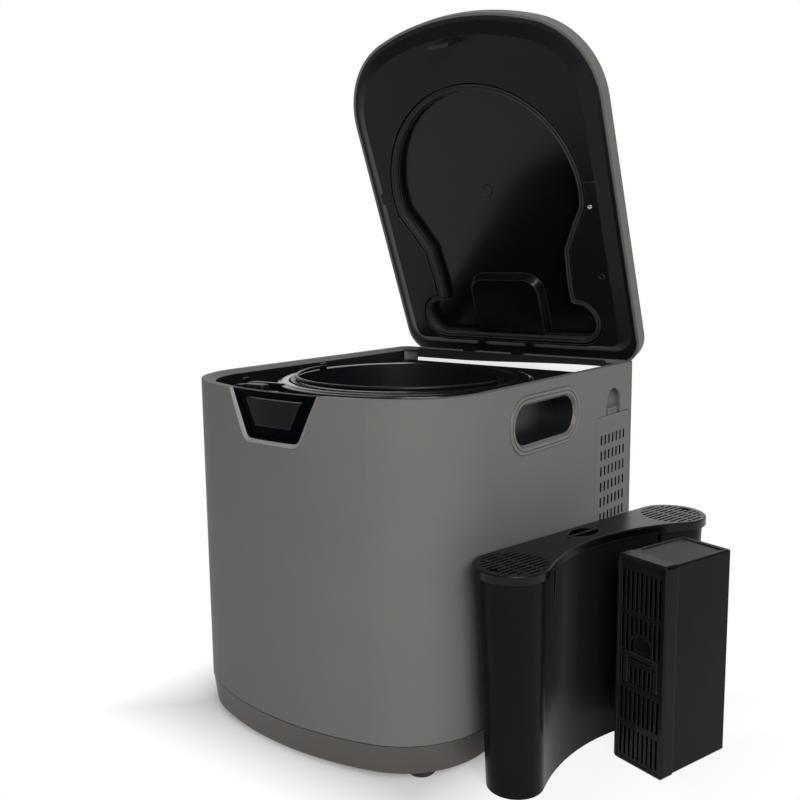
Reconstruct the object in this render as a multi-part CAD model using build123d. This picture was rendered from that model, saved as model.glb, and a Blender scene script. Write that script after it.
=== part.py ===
from build123d import *
import os
from math import atan2, cos, pi, radians, sin, sqrt

# Electric kitchen composter: a D-shaped cabinet with a hinged lid, a lift-out bucket with a
# driven stirrer, and two carbon filters that stand on the floor beside it.
# Millimetres, +Z up, the front of the machine faces -Y. Every piece is drawn about the
# vertical line through the middle of the cabinet, on the floor, and moved once at the end.

# Cabinet
WIDTH = 280.0
DEPTH = 348.0
RIM_Z = 294.0
SKIRT_TOP = 30.0
FOOT_H = 6.0
CROWN_R = 264.0
CORNER_R = 81.0
REAR_R = 9.0
WALL = 2.5
RIM_BAND = 7.0
RIM_T = 3.0
SHADOW_GAP = 0.8
FIT = 0.3
SKIRT_WALL = 2.5
SKIRT_FLOOR = 3.0
SKIRT_LEAN = 7.0
SKIRT_ROUND = 3.0
FOOT_R = 11.0
FOOT_X = 106.0
FOOT_Y = (-124.0, 142.0)

# Deck, bucket seat and filter bay
DECK_Z = 280.0
DECK_T = 3.0
BUCKET_Y = -4.0
BUCKET_R = 99.0
BUCKET_TAPER = 5.0
BUCKET_WALL = 1.5
BUCKET_FLOOR = 2.5
BUCKET_RIM_R = 103.0
BUCKET_RIM_T = 2.0
BUCKET_RIM_UP = 1.4
BAIL_R = 1.6
BAIL_PIN_R = 1.4
BAIL_IN = 5.5
BAIL_UP = 2.4
EAR_UP = 5.3
BUCKET_ROUND = 14.0
BUCKET_SEAT_Z = 130.0
WELL_R = 105.0
WELL_WALL = 2.0
HEATER_T = 6.0
HEATER_R = 84.0
RING_IN = 105.0
RING_OUT = 109.5
RING_TOP = 287.0
BAY_HALF = 128.0
BAY_FRONT = 64.0
BAY_BACK = 158.0
BAY_ARC_R = 113.0
BAY_FLOOR_Z = 110.0
BAY_WALL = 2.0
BAY_CORNER = 12.0

# Lid
LID_GAP = 0.8
LID_H = 20.0
LID_WALL = 2.5
LID_ROUND = 9.0
LID_REAR_R = 28.0
LID_OPEN = 68.5
HINGE_Y = 176.5
HINGE_Z = 278.5
HINGE_X = (-50.0, 10.0)
HINGE_PIN_R = 2.0
HINGE_PLAY = 0.05
ARM_W = 9.0
ARM_R = 5.0
CHEEK_W = 5.0
STRIP_HALF = 112.0
STRIP_SKIN = 2.0
LINER_T = 2.2
LINER_DROP = 5.0
LINER_FLAT = 6.5
LINER_SLOPE = 11.0
FIELD_BACK = 8.0
KEY_R = 103.0
KEY_GROOVE = 8.0
KEY_STEP = 6.0
KEY_DEEP = 13.0
HUMP_W = 88.0
HUMP_Y0 = 79.0
HUMP_H = 10.0
HUMP_Y1 = 168.0
HUMP_ROUND = 20.0
BAR_RISE = 1.8
SEAL_W = 5.0
SEAL_LOW = 0.4
PLUG_R = 6.0
STRIKER_W = 22.0
STRIKER_T = 3.0
STRIKER_Y = -152.5

# Front panel, button and latch
PANEL_TOP_W = 98.0
PANEL_LOW_W = 58.0
PANEL_H = 41.0
PANEL_ROUND = 10.0
PANEL_BEVEL = 5.0
PANEL_SET = 2.2
PANEL_RECESS = 4.8
PANEL_T = 7.0
BUTTON_PROUD = 1.6
BUTTON_TOP_W = 59.0
BUTTON_LOW_W = 37.0
BUTTON_H = 21.0
BUTTON_DROP = 6.5
BUTTON_TRAVEL = 4.0
BUTTON_GAP = 0.5
BUTTON_BACK = 4.0
HOOK_BITE = 3.0
LATCH_REACH = 9.0
LATCH_DROP = 16.0

# Side grips and side door
GRIP_Y = 5.0
GRIP_Z = 261.0
GRIP_L = 114.0
GRIP_H = 48.0
GRIP_HOLE_L = 96.0
GRIP_HOLE_H = 32.0
GRIP_DEPTH = 24.0
GRIP_WALL = 2.0
GRIP_LEAD = 2.4
GRIP_LINE_AT = 4.6
GRIP_LINE_W = 0.9
GRIP_LINE_DEEP = 0.8
DOOR_Y0 = 93.0
DOOR_Y1 = 163.0
DOOR_Z0 = 56.0
DOOR_Z1 = 249.0
DOOR_T = 2.5
DOOR_GAP = 0.4
FRAME_LIP = 2.0
FRAME_DEPTH = 6.0
PAD_T = 2.0
DOOR_ROUND = 5.0
SLOT_COLS = 7
SLOT_PITCH_Y = 7.6
SLOT_PITCH_Z = 14.5
SLOT_W = 3.0
SLOT_H = 8.7
SLOT_TOP = 21.8
SLOT_LOW = 10.0
SCOOP_W = 28.0
SCOOP_H = 24.0

# Power inlet in the back wall
INLET_GAP = 8.8
INLET_Z = 62.0
INLET_W = 24.4
INLET_H = 16.8
INLET_DEPTH = 16.0
INLET_WALL = 2.0

# Drive: two gear steps from the motor to the coupler under the bucket
MODULE = 1.5
PINION_TEETH = 12
WHEEL_TEETH = 44
IDLER_TEETH = 14
OUTPUT_TEETH = 56
GEAR_T = 8.0
GEAR_GAP = 2.0
GEAR_PLAY = 0.25
CASE_Z = 88.0
CASE_WALL = 3.0
SHAFT_R = 6.0
IDLER_PIN_R = 4.0
MOTOR_SHAFT_R = 3.0
RUN_PLAY = 0.05
MOTOR_R = 22.0
MOTOR_H = 50.0
COUPLER_R = 11.0
BLADE_T = 3.0
BOSS_R = 17.0
BOSS_H = 24.0
ROTOR_HUB_R = 21.0
ROTOR_REACH = 88.0
ROTOR_ARMS = 3

# Exhaust fan
FAN_X = -115.0
FAN_Y = 124.0
FAN_Z = 66.0
FAN_R = 22.0
FAN_W = 20.0
FAN_BLADES = 15

# Box filter and the socket in the back that takes it
BOX_W = 48.0
BOX_H = 168.0
BOX_D = 76.0
BOX_FRAME_D = 13.0
BOX_WALL = 2.0
BOX_FACE_T = 6.0
BOX_PLAY = 1.0
SOCKET_Z0 = 37.0
SOCKET_WALL = 2.0
GRILLE_COLS = 9
GRILLE_PITCH = 4.4
GRILLE_SLOT = 2.1
HANDLE_W = 33.0
HANDLE_TOP = 91.5
HANDLE_LEG = 25.5
HANDLE_BAR = 4.0
HANDLE_GAP = 1.2
HANDLE_PIN_R = 1.0
HANDLE_DEPTH = 4.4
THUMB_R = 10.0

# Saddle-shaped carbon filter
SADDLE_L = 198.0
SADDLE_R = 29.0
SADDLE_RC = 170.0
SADDLE_H = 174.0
SADDLE_INSET = 3.0
SADDLE_TAPER = 4.0
SADDLE_NARROW = 5.0
SADDLE_LIP = 7.0
SADDLE_WALL = 2.0
SADDLE_PLATE = 2.5
SADDLE_HEADROOM = 22.0
NOTCH_AT = 0.33
NOTCH_W = 5.0
NOTCH_H = 32.0
NOTCH_DEEP = 9.0
VENT_L = 26.0
VENT_STEP = 7.0
SLOT_REACH = 24.5
SLOT_STEP = 4.6
SLOT_BAR = 2.1
PINCH_W = 32.0
PINCH_BOW = 8.0
PINCH_RIB = 2.6

# Where the two filters stand on the floor
SADDLE_POS = (192.4, -3.6)
SADDLE_TURN = 78.3
BOX_POS = (214.2, -14.2)
BOX_TURN = -16.5

# The frame's origin is the middle of the floor area that the whole set takes
ORIGIN_X = 70.1
ORIGIN_Y = 16.3

FRONT = -DEPTH / 2
BACK = DEPTH / 2
HALF = WIDTH / 2
LID_Z = RIM_Z + LID_GAP
LID_TOP = LID_Z + LID_H
LINER_Z = RIM_Z - LINER_DROP


def body_plan(inset=0.0, rear=REAR_R, back_y=BACK):
    """Plan outline as a face: crowned front, round front corners, straight sides and back."""
    cx = HALF - CORNER_R
    crown_y = FRONT + CROWN_R
    cy = crown_y - sqrt((CROWN_R - CORNER_R) ** 2 - cx**2)
    crown = CROWN_R - inset
    corner = CORNER_R - inset
    rr = max(rear - inset, 1.0)
    half = HALF - inset
    back = back_y - inset
    lean = atan2(cx, crown_y - cy)
    tx, ty = crown * sin(lean), crown_y - crown * cos(lean)
    mid = (pi / 2 - lean) / 2
    mx, my = cx + corner * cos(mid), cy - corner * sin(mid)
    q = rr * (1 - cos(pi / 4))
    edges = [
        ThreePointArc((-tx, ty), (0, crown_y - crown), (tx, ty)),
        ThreePointArc((tx, ty), (mx, my), (half, cy)),
        Line((half, cy), (half, back - rr)),
        ThreePointArc((half, back - rr), (half - q, back - q), (half - rr, back)),
        Line((half - rr, back), (-half + rr, back)),
        ThreePointArc((-half + rr, back), (-half + q, back - q), (-half, back - rr)),
        Line((-half, back - rr), (-half, cy)),
        ThreePointArc((-half, cy), (-mx, my), (-tx, ty)),
    ]
    return make_face(Wire(edges))


def slab(face, z0, z1):
    """A face drawn on the floor, raised to z0 and made as thick as z1 asks."""
    return extrude(Pos(0, 0, z0) * face, z1 - z0, dir=(0, 0, 1))


def disc(r, z0, z1, x=0.0, y=0.0):
    """An upright cylinder between two heights."""
    return Pos(x, y, (z0 + z1) / 2) * Cylinder(r, z1 - z0)


def block(x0, x1, y0, y1, z0, z1):
    """A box by its two corners."""
    return Pos((x0 + x1) / 2, (y0 + y1) / 2, (z0 + z1) / 2) * Box(x1 - x0, y1 - y0, z1 - z0)


def bar_x(r, x0, x1, y, z):
    """A round bar along X."""
    return Pos((x0 + x1) / 2, y, z) * Rot(0, 90, 0) * Cylinder(r, x1 - x0)


def trapezoid(top_w, low_w, top_z, height, y0, depth, corner=0.0, taper=0.0):
    """A prism along Y whose upright section narrows downwards, with rounded lower corners."""
    points = [(-top_w / 2, top_z), (top_w / 2, top_z), (low_w / 2, top_z - height)]
    points.append((-low_w / 2, top_z - height))
    face = make_face(Polyline(*points, close=True))
    if corner:
        face = fillet(face.vertices().sort_by(Axis.Y)[:2], corner)
    face = Plane.XZ.offset(-y0) * face
    return extrude(face, depth, dir=(0, 1, 0), taper=taper)


def obround_x(length, height, x0, x1, y, z):
    """A prism along X with a rounded-end slot section."""
    face = Plane.YZ.offset(x0) * Pos(y, z) * SlotOverall(length, height)
    return extrude(face, x1 - x0, dir=(1, 0, 0))


# Cabinet


def panel_prism(grow=0.0, y0=FRONT - 5, depth=60.0):
    """The front cut-out's prism, which the panel fills."""
    top = PANEL_TOP_W + 2 * grow
    return trapezoid(top, PANEL_LOW_W + 2 * grow, RIM_Z + 2, PANEL_H + 2 + grow, y0, depth,
                     PANEL_ROUND)


def door_prism(grow, x0, x1):
    """The side door's opening with its rounded corners, seen from the side."""
    w = DOOR_Y1 - DOOR_Y0 + 2 * grow
    h = DOOR_Z1 - DOOR_Z0 + 2 * grow
    face = RectangleRounded(w, h, max(DOOR_ROUND + grow, 1.0))
    face = Plane.YZ.offset(x0) * Pos((DOOR_Y0 + DOOR_Y1) / 2, (DOOR_Z0 + DOOR_Z1) / 2) * face
    return extrude(face, x1 - x0, dir=(1, 0, 0))


def scoop_prism(grow, x0, x1):
    """The finger scoop above the side door: upright sides and a round top."""
    w = SCOOP_W + 2 * grow
    y = (DOOR_Y0 + DOOR_Y1) / 2
    tall = SCOOP_H + grow - w / 2
    rect = Pos(y, DOOR_Z1 + tall / 2) * Rectangle(w, tall)
    top = Pos(y, DOOR_Z1 + tall) * Circle(w / 2)
    cap = Pos(y, DOOR_Z1 + tall + w / 2) * Rectangle(w, w)
    return extrude(Plane.YZ.offset(x0) * (rect + (top & cap)), x1 - x0, dir=(1, 0, 0))


def hinge_blocks(grow, y0, z0):
    """The upright blocks round the two lid hinges, as wide as an arm and its two cheeks."""
    w = ARM_W / 2 + FIT + CHEEK_W + grow
    return [block(x - w, x + w, y0, BACK + 20, z0, RIM_Z + 1) for x in HINGE_X]


def socket_block(grow, y0, y1):
    """The box filter's socket in the lower back, where the filter lies on its side."""
    half = BOX_H / 2 + BOX_PLAY + grow
    z0 = SOCKET_Z0 - grow
    z1 = SOCKET_Z0 + BOX_W + 2 * BOX_PLAY + grow
    return block(-half, half, y0, y1, z0, z1)


def outer_shell():
    """The painted wall with an inward rim, cut out for panel, grips, door, hinges and socket."""
    shell = slab(body_plan() - body_plan(WALL), SKIRT_TOP + SHADOW_GAP, RIM_Z)
    shell += slab(body_plan() - body_plan(RIM_BAND), RIM_Z - RIM_T, RIM_Z)
    shell -= panel_prism(FIT, depth=PANEL_T + 12)
    for side in (-1, 1):
        x0, x1 = sorted((side * (HALF - 20), side * (HALF + 5)))
        shell -= obround_x(GRIP_L + 2 * FIT, GRIP_H + 2 * FIT, x0, x1, GRIP_Y, GRIP_Z)
    shell -= door_prism(DOOR_GAP, HALF - 20, HALF + 5)
    shell -= scoop_prism(0, HALF - 20, HALF + 5)
    for hinge in hinge_blocks(FIT, BACK - RIM_BAND - FIT, HINGE_Z - ARM_R - 3):
        shell -= hinge
    shell -= socket_block(SOCKET_WALL + FIT, BACK - 10, BACK + 5)
    shell -= inlet_prism(FIT, BACK - 10, BACK + 5)
    for i in range(6):
        for side in (-1, 1):
            x = side * (34 + 9 * i)
            shell -= block(x - 1.5, x + 1.5, BACK - 10, BACK + 5, 200, 240)
    return shell


def base_tray():
    """The skirt below the shell: it leans in to the floor and carries everything inside."""
    depth = SKIRT_TOP - FOOT_H
    top = Pos(0, 0, SKIRT_TOP) * body_plan(0.4)
    tray = extrude(top, depth, dir=(0, 0, -1), taper=SKIRT_LEAN)
    low = tray.faces().sort_by(Axis.Z)[0]
    tray = fillet(low.edges(), SKIRT_ROUND)
    lean = (depth - SKIRT_FLOOR) * sin(radians(SKIRT_LEAN)) / cos(radians(SKIRT_LEAN))
    hollow = slab(body_plan(0.4 + SKIRT_WALL + lean), FOOT_H + SKIRT_FLOOR, SKIRT_TOP)
    lip = slab(body_plan(WALL + FIT) - body_plan(WALL + FIT + 2), SKIRT_TOP - 8, SKIRT_TOP + 8)
    tray = tray - hollow + (lip - socket_block(SOCKET_WALL + FIT, BACK - 20, BACK + 5))
    for x, y in foot_spots():
        tray -= disc(FOOT_R - 3 + FIT, FOOT_H - 1, FOOT_H + 1.5, x, y)
    return tray


def foot_spots():
    """Four feet, near the corners of the plan."""
    return [(side * FOOT_X, y) for side in (-1, 1) for y in FOOT_Y]


def feet():
    """Rubber feet, each with a neck that sits in a pocket of the tray."""
    spots = foot_spots()
    foot = disc(FOOT_R, 0, FOOT_H) + disc(FOOT_R - 3, FOOT_H, FOOT_H + 1.5)
    rim = foot.edges().filter_by(GeomType.CIRCLE).group_by(Axis.Z)[0]
    foot = chamfer(rim, 1.2)
    return Compound(children=[Pos(x, y, 0) * foot for x, y in spots])


def bay_plan(inset=0.0):
    """The filter bay's outline: a wide rectangle bitten by a circle round the bucket."""
    w = 2 * (BAY_HALF - inset)
    h = BAY_BACK - BAY_FRONT - 2 * inset
    rect = Pos(0, (BAY_BACK + BAY_FRONT) / 2) * RectangleRounded(w, h, BAY_CORNER - inset)
    return rect - Pos(0, BUCKET_Y) * Circle(BAY_ARC_R + inset)


def top_deck():
    """The black plate inside the rim, with the bucket's ring and the openings in it."""
    deck = slab(body_plan(WALL + FIT), DECK_Z - DECK_T, DECK_Z)
    deck += disc(RING_OUT, DECK_Z, RING_TOP, 0, BUCKET_Y)
    deck -= disc(RING_IN, DECK_Z - DECK_T - 1, RING_TOP + 1, 0, BUCKET_Y)
    deck -= slab(bay_plan(), DECK_Z - DECK_T - 1, RING_TOP + 1)
    for hinge in hinge_blocks(FIT, BAY_BACK + 3, DECK_Z - 10):
        deck -= hinge
    deck -= panel_prism(FIT, depth=PANEL_T + BUTTON_BACK + BUTTON_TRAVEL + 7.5)
    deck -= latch_pocket_box(0, DECK_Z - DECK_T - 1, DECK_Z + 1)
    length = GRIP_HOLE_L + 2 * GRIP_WALL + 2 * FIT
    height = GRIP_HOLE_H + 2 * GRIP_WALL + 2 * FIT
    for side in (-1, 1):
        x0, x1 = sorted((side * (HALF - GRIP_DEPTH - FIT), side * HALF))
        deck -= obround_x(length, height, x0, x1, GRIP_Y, GRIP_Z)
    return deck


def filter_bay():
    """The pale tub behind the bucket that takes the saddle filter, open at the top."""
    tub = slab(bay_plan(-BAY_WALL), BAY_FLOOR_Z - BAY_WALL, DECK_Z - DECK_T)
    tub += slab(bay_plan(0.1), DECK_Z - DECK_T, DECK_Z + 1)
    tub -= slab(bay_plan(BAY_WALL / 2), BAY_FLOOR_Z, DECK_Z + 5)
    port = disc(15, BAY_FLOOR_Z - 5, BAY_FLOOR_Z + 5, FAN_X + 8, FAN_Y)
    return tub - port


def bucket_well():
    """The cup that the bucket drops into, hung from the deck."""
    outer = WELL_R + WELL_WALL
    z0 = BUCKET_SEAT_Z - HEATER_T - WELL_WALL
    well = disc(outer, z0, DECK_Z - DECK_T, 0, BUCKET_Y)
    well -= disc(WELL_R, z0 + WELL_WALL, DECK_Z, 0, BUCKET_Y)
    return well - disc(SHAFT_R + 3, z0 - 1, z0 + 5, 0, BUCKET_Y)


def heater_plate():
    """The round hot plate on the well's floor that the bucket stands on."""
    z0 = BUCKET_SEAT_Z - HEATER_T
    plate = disc(HEATER_R, z0, BUCKET_SEAT_Z, 0, BUCKET_Y)
    plate -= disc(COUPLER_R + 2, z0 - 1, BUCKET_SEAT_Z + 1, 0, BUCKET_Y)
    groove = disc(60, BUCKET_SEAT_Z - 1, BUCKET_SEAT_Z + 1, 0, BUCKET_Y)
    groove -= disc(57, BUCKET_SEAT_Z - 2, BUCKET_SEAT_Z + 2, 0, BUCKET_Y)
    return plate - groove


def front_panel():
    """The black panel in the front cut-out: a bevelled frame round a sunk face."""
    skin = slab(body_plan(PANEL_SET) - body_plan(PANEL_T), RIM_Z - PANEL_H - 5, RIM_Z)
    panel = skin & panel_prism(0)
    inner_w = PANEL_TOP_W - 2 * PANEL_BEVEL
    low_w = PANEL_LOW_W - PANEL_BEVEL
    sunk = trapezoid(inner_w, low_w, RIM_Z - 2.5, PANEL_H - PANEL_BEVEL - 2.5, FRONT - 5, 40,
                     PANEL_ROUND - 3)
    face = slab(body_plan(-10) - body_plan(PANEL_RECESS), RIM_Z - PANEL_H, RIM_Z)
    panel -= sunk & face
    return panel - button_prism(BUTTON_GAP)


def button_prism(grow=0.0):
    """The button's outline as a prism through the panel."""
    return trapezoid(BUTTON_TOP_W + 2 * grow, BUTTON_LOW_W + 2 * grow,
                     RIM_Z - BUTTON_DROP + grow, BUTTON_H + 2 * grow, FRONT - 5, 40)


def button_cap():
    """The release button: it stands a little proud of the sunk face."""
    front = body_plan(PANEL_RECESS - BUTTON_PROUD)
    skin = slab(front - body_plan(PANEL_T + BUTTON_BACK), RIM_Z - PANEL_H, RIM_Z)
    return skin & button_prism()


def latch_pocket_box(grow, z0, z1):
    """The slot in the deck behind the button that the lid's striker drops into."""
    w = STRIKER_W / 2 + 4 + grow
    end = STRIKER_Y + STRIKER_T / 2 + LATCH_REACH + BUTTON_TRAVEL + 1
    return block(-w, w, STRIKER_Y - 6 - grow, end + grow, z0, z1)


def latch_slider():
    """The bar behind the button: it runs under the striker and hooks it from behind."""
    w = STRIKER_W / 2 - 5
    back_face = FRONT + PANEL_T + BUTTON_BACK + 0.1
    z_low = DECK_Z - DECK_T - LATCH_DROP
    hook_y = STRIKER_Y + STRIKER_T / 2
    bar = block(-w, w, back_face, hook_y + LATCH_REACH, z_low, z_low + 4)
    post = block(-w, w, hook_y + 4, hook_y + LATCH_REACH, z_low, DECK_Z - 1)
    tongue = block(-w, w, hook_y - HOOK_BITE, hook_y + 5, DECK_Z - 4, DECK_Z - 1)
    stem = block(-w, w, back_face, back_face + 4, z_low, z_low + 12)
    return bar + post + tongue + stem


def latch_guide():
    """A U-shaped rail under the deck that carries the latch bar, with slide clearance."""
    w = STRIKER_W / 2 - 5 + FIT
    z_low = DECK_Z - DECK_T - LATCH_DROP
    z_top = DECK_Z - DECK_T
    y0, y1 = STRIKER_Y - 5, STRIKER_Y + 24
    guide = block(-w - 2, w + 2, y0, y1, z_low - 2 - FIT, z_low - FIT)
    for side in (-1, 1):
        x0, x1 = sorted((side * w, side * (w + 2)))
        guide += block(x0, x1, y0, y1, z_low - 2 - FIT, z_low + 6)
        guide += block(x0, x1, y1 - 9, y1, z_low, z_top)
    return guide


def grip_cup(side):
    """A hand grip: an oval frame in the wall with a closed cup behind it."""
    x1 = HALF + 0.6
    cup = obround_x(GRIP_L, GRIP_H, HALF - WALL, x1, GRIP_Y, GRIP_Z)
    rim = cup.faces().sort_by(Axis.X)[-1]
    cup = chamfer(rim.edges(), 0.5)
    back = HALF - GRIP_DEPTH
    cup += obround_x(GRIP_HOLE_L + 2 * GRIP_WALL, GRIP_HOLE_H + 2 * GRIP_WALL, back, HALF - 1,
                     GRIP_Y, GRIP_Z)
    cup -= obround_x(GRIP_HOLE_L, GRIP_HOLE_H, back + GRIP_WALL, x1 + 1, GRIP_Y, GRIP_Z)
    lead = SlotOverall(GRIP_HOLE_L + 2 * GRIP_LEAD, GRIP_HOLE_H + 2 * GRIP_LEAD)
    face = Plane.YZ.offset(x1) * Pos(GRIP_Y, GRIP_Z) * lead
    cup -= extrude(face, GRIP_LEAD, dir=(-1, 0, 0), taper=45)
    near, far = 2 * GRIP_LINE_AT, 2 * (GRIP_LINE_AT + GRIP_LINE_W)
    line = obround_x(GRIP_HOLE_L + far, GRIP_HOLE_H + far, x1 - GRIP_LINE_DEEP, x1 + 1, GRIP_Y, GRIP_Z)
    line -= obround_x(GRIP_HOLE_L + near, GRIP_HOLE_H + near, x1 - 2, x1 + 2, GRIP_Y, GRIP_Z)
    cup -= line
    return cup if side > 0 else mirror(cup, Plane.YZ)


def door_frame():
    """The shallow recess behind the side door and its finger scoop."""
    x0 = HALF - WALL - FRAME_DEPTH
    frame = door_prism(FRAME_LIP, x0, HALF - WALL) - door_prism(-2, x0 + 1.5, HALF + 1)
    frame -= door_prism(-9, x0 - 1, HALF)
    scoop = scoop_prism(3, x0 + 1, HALF - WALL) - scoop_prism(0.5, x0 + 2.5, HALF + 1)
    return frame + scoop


def dust_pad():
    """A thin foam pad in the recess, held against the frame."""
    x0 = HALF - WALL - FRAME_DEPTH + 1.5
    return door_prism(-2.5, x0, x0 + PAD_T)


def side_door():
    """The louvred side door with seven columns of short slots."""
    door = door_prism(0, HALF - DOOR_T, HALF)
    door = chamfer(door.faces().sort_by(Axis.X)[-1].edges(), 0.4)
    y_mid = (DOOR_Y0 + DOOR_Y1) / 2
    rows = int((DOOR_Z1 - DOOR_Z0 - SLOT_TOP - SLOT_LOW) / SLOT_PITCH_Z) + 1
    slots = []
    for row in range(rows):
        for col in range(SLOT_COLS):
            y = y_mid + (col - (SLOT_COLS - 1) / 2) * SLOT_PITCH_Y
            z = DOOR_Z1 - SLOT_TOP - row * SLOT_PITCH_Z
            slots.append(block(HALF - 10, HALF + 5, y - SLOT_W / 2, y + SLOT_W / 2,
                               z - SLOT_H / 2, z + SLOT_H / 2))
    return door - slots


def door_latch():
    """The sprung tab on the door's top edge, which reaches into the finger scoop."""
    y = (DOOR_Y0 + DOOR_Y1) / 2
    tab = block(HALF - DOOR_T, HALF - 1, y - 9, y + 9, DOOR_Z1, DOOR_Z1 + 6)
    return tab - block(HALF - 1.6, HALF, y - 6, y + 6, DOOR_Z1 + 2, DOOR_Z1 + 4.5)


def box_socket():
    """The open sleeve in the lower back that the box filter is pushed into."""
    y0 = BACK - BOX_D - BOX_PLAY
    sleeve = socket_block(SOCKET_WALL, y0 - SOCKET_WALL, BACK - 0.5)
    sleeve -= socket_block(0, y0, BACK + 5)
    half = BOX_H / 2
    return sleeve - block(-half - 9, -half + 5, FAN_Y - 14, FAN_Y + 14, SOCKET_Z0 + 8,
                          SOCKET_Z0 + 40)


def hinge_bracket():
    """The strip behind the bay with two forks that hold the lid's hinge pins."""
    z0 = DECK_Z + FIT
    y0, y1 = BAY_BACK + BAY_WALL + 1.5, BACK - RIM_BAND - FIT
    strip = block(-STRIP_HALF, STRIP_HALF, y0, y1, z0, RIM_Z - 0.5)
    for x in HINGE_X:
        w = ARM_W / 2 + FIT
        side = w + CHEEK_W
        strip += block(x - side, x + side, y0, HINGE_Y, HINGE_Z - ARM_R, HINGE_Z + ARM_R)
        strip += bar_x(ARM_R, x - side, x + side, HINGE_Y, HINGE_Z)
        strip -= block(x - w, x + w, y1, BACK + 20, HINGE_Z - ARM_R - 2, RIM_Z + 1)
        strip -= block(x - w, x + w, y0 + STRIP_SKIN, y1 + 1, HINGE_Z + ARM_R, RIM_Z + 1)
        strip -= bar_x(HINGE_PIN_R, x - side, x + side, HINGE_Y, HINGE_Z)
    return strip


def hinge_pins():
    """The two steel pins, pressed into the forks."""
    pins = []
    for x in HINGE_X:
        side = ARM_W / 2 + FIT + CHEEK_W
        pins.append(bar_x(HINGE_PIN_R, x - side, x + side, HINGE_Y, HINGE_Z))
    return Compound(children=pins)


def inlet_prism(grow, y0, y1):
    """The power inlet's outline in the back wall, low beside the filter socket."""
    w, h = INLET_W / 2 + INLET_WALL + grow, INLET_H / 2 + INLET_WALL + grow
    x = inlet_x()
    return block(x - w, x + w, y0, y1, INLET_Z - h, INLET_Z + h)


def inlet_x():
    """The power inlet's middle: beside the socket's wall with room for its flange."""
    socket = BOX_H / 2 + BOX_PLAY + SOCKET_WALL
    return -(socket + INLET_GAP + INLET_WALL + INLET_W / 2)


def power_inlet():
    """A three-pin appliance inlet set into the back wall."""
    floor = BACK + 1 - INLET_DEPTH
    body = inlet_prism(0, floor - INLET_WALL, BACK + 1)
    w, h = INLET_W / 2, INLET_H / 2
    body += inlet_prism(4, BACK, BACK + 1)
    mid = inlet_x()
    body -= block(mid - w, mid + w, floor, BACK + 5, INLET_Z - h, INLET_Z + h)
    for dx, dz in ((-7, -2), (0, 2), (7, -2)):
        x, z = mid + dx, INLET_Z + dz
        body += block(x - 1, x + 1, floor - 0.5, BACK - 2, z - 2, z + 2)
    return body


# Drive


def gear_face(teeth, bore=0.0, play=GEAR_PLAY):
    """A spur gear's section: each tooth a tapered block between root and tip circles."""
    r = MODULE * teeth / 2
    root = r - 1.25 * MODULE
    tip = r + MODULE
    pitch = 2 * pi / teeth
    points = []
    for i in range(teeth):
        a = i * pitch
        half_root = pitch * 0.34
        half_pitch = pitch / 4 - play / 2 / r
        half_tip = pitch * 0.12
        for radius, turn in ((root, -half_root), (r, -half_pitch), (tip, -half_tip),
                             (tip, half_tip), (r, half_pitch), (root, half_root)):
            points.append((radius * cos(a + turn), radius * sin(a + turn)))
    face = make_face(Polyline(*points, close=True))
    return face - Circle(bore) if bore else face


def drive_places():
    """The axes of the idler and the motor from the two centre distances."""
    step = MODULE * (IDLER_TEETH + OUTPUT_TEETH) / 2
    reach = MODULE * (PINION_TEETH + WHEEL_TEETH) / 2
    idler = (step, BUCKET_Y)
    motor = (step, BUCKET_Y - reach)
    return idler, motor


def mesh_turn(own_teeth, other_angle, other_teeth, direction):
    """The turn in degrees that puts a tooth gap opposite the other gear's tooth."""
    phase = (direction - other_angle) / (360 / other_teeth) % 1.0
    return direction + 180 + (phase + 0.5) * 360 / own_teeth


def gear_levels():
    """The floor of the case, and the two gear planes above it."""
    low = CASE_Z + CASE_WALL + GEAR_GAP
    high = low + GEAR_T + GEAR_GAP
    return low, high, high + GEAR_T + GEAR_GAP


def output_gear():
    """The large gear on the coupler's shaft."""
    z0 = gear_levels()[1]
    return Pos(0, BUCKET_Y, z0) * extrude(gear_face(OUTPUT_TEETH, SHAFT_R + 0.02), GEAR_T)


def drive_coupler():
    """The output shaft with a blade on top that turns the stirrer."""
    low, high, top = gear_levels()
    shaft = disc(SHAFT_R, CASE_Z + CASE_WALL + 0.3, BUCKET_SEAT_Z - 4, 0, BUCKET_Y)
    head = disc(COUPLER_R, BUCKET_SEAT_Z - 4, BUCKET_SEAT_Z + 3, 0, BUCKET_Y)
    z1 = BUCKET_SEAT_Z + 9
    blade = Pos(0, BUCKET_Y, BUCKET_SEAT_Z + 6) * Box(2 * COUPLER_R - 4, BLADE_T, 6)
    return shaft + head + blade


def idler_gears():
    """The compound idler: a large wheel below and a small one above, on one hub."""
    (x, y), _ = drive_places()
    low, high, top = gear_levels()
    bore = IDLER_PIN_R + RUN_PLAY
    wheel = Pos(x, y, low) * extrude(gear_face(WHEEL_TEETH), GEAR_T)
    turn = mesh_turn(IDLER_TEETH, 0, OUTPUT_TEETH, 0)
    small = Pos(x, y, high) * Rot(0, 0, turn) * extrude(gear_face(IDLER_TEETH), GEAR_T)
    hub = disc(7.5, low, high + GEAR_T, x, y)
    return wheel + small + hub - disc(bore, low - 5, top + 5, x, y)


def motor_pinion():
    """The motor's shaft and its pinion."""
    _, (x, y) = drive_places()
    low = gear_levels()[0]
    turn = mesh_turn(PINION_TEETH, 0, WHEEL_TEETH, -90)
    pinion = Pos(x, y, low) * Rot(0, 0, turn) * extrude(gear_face(PINION_TEETH), GEAR_T)
    return pinion + disc(MOTOR_SHAFT_R, CASE_Z - 20, low + GEAR_T, x, y)


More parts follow.
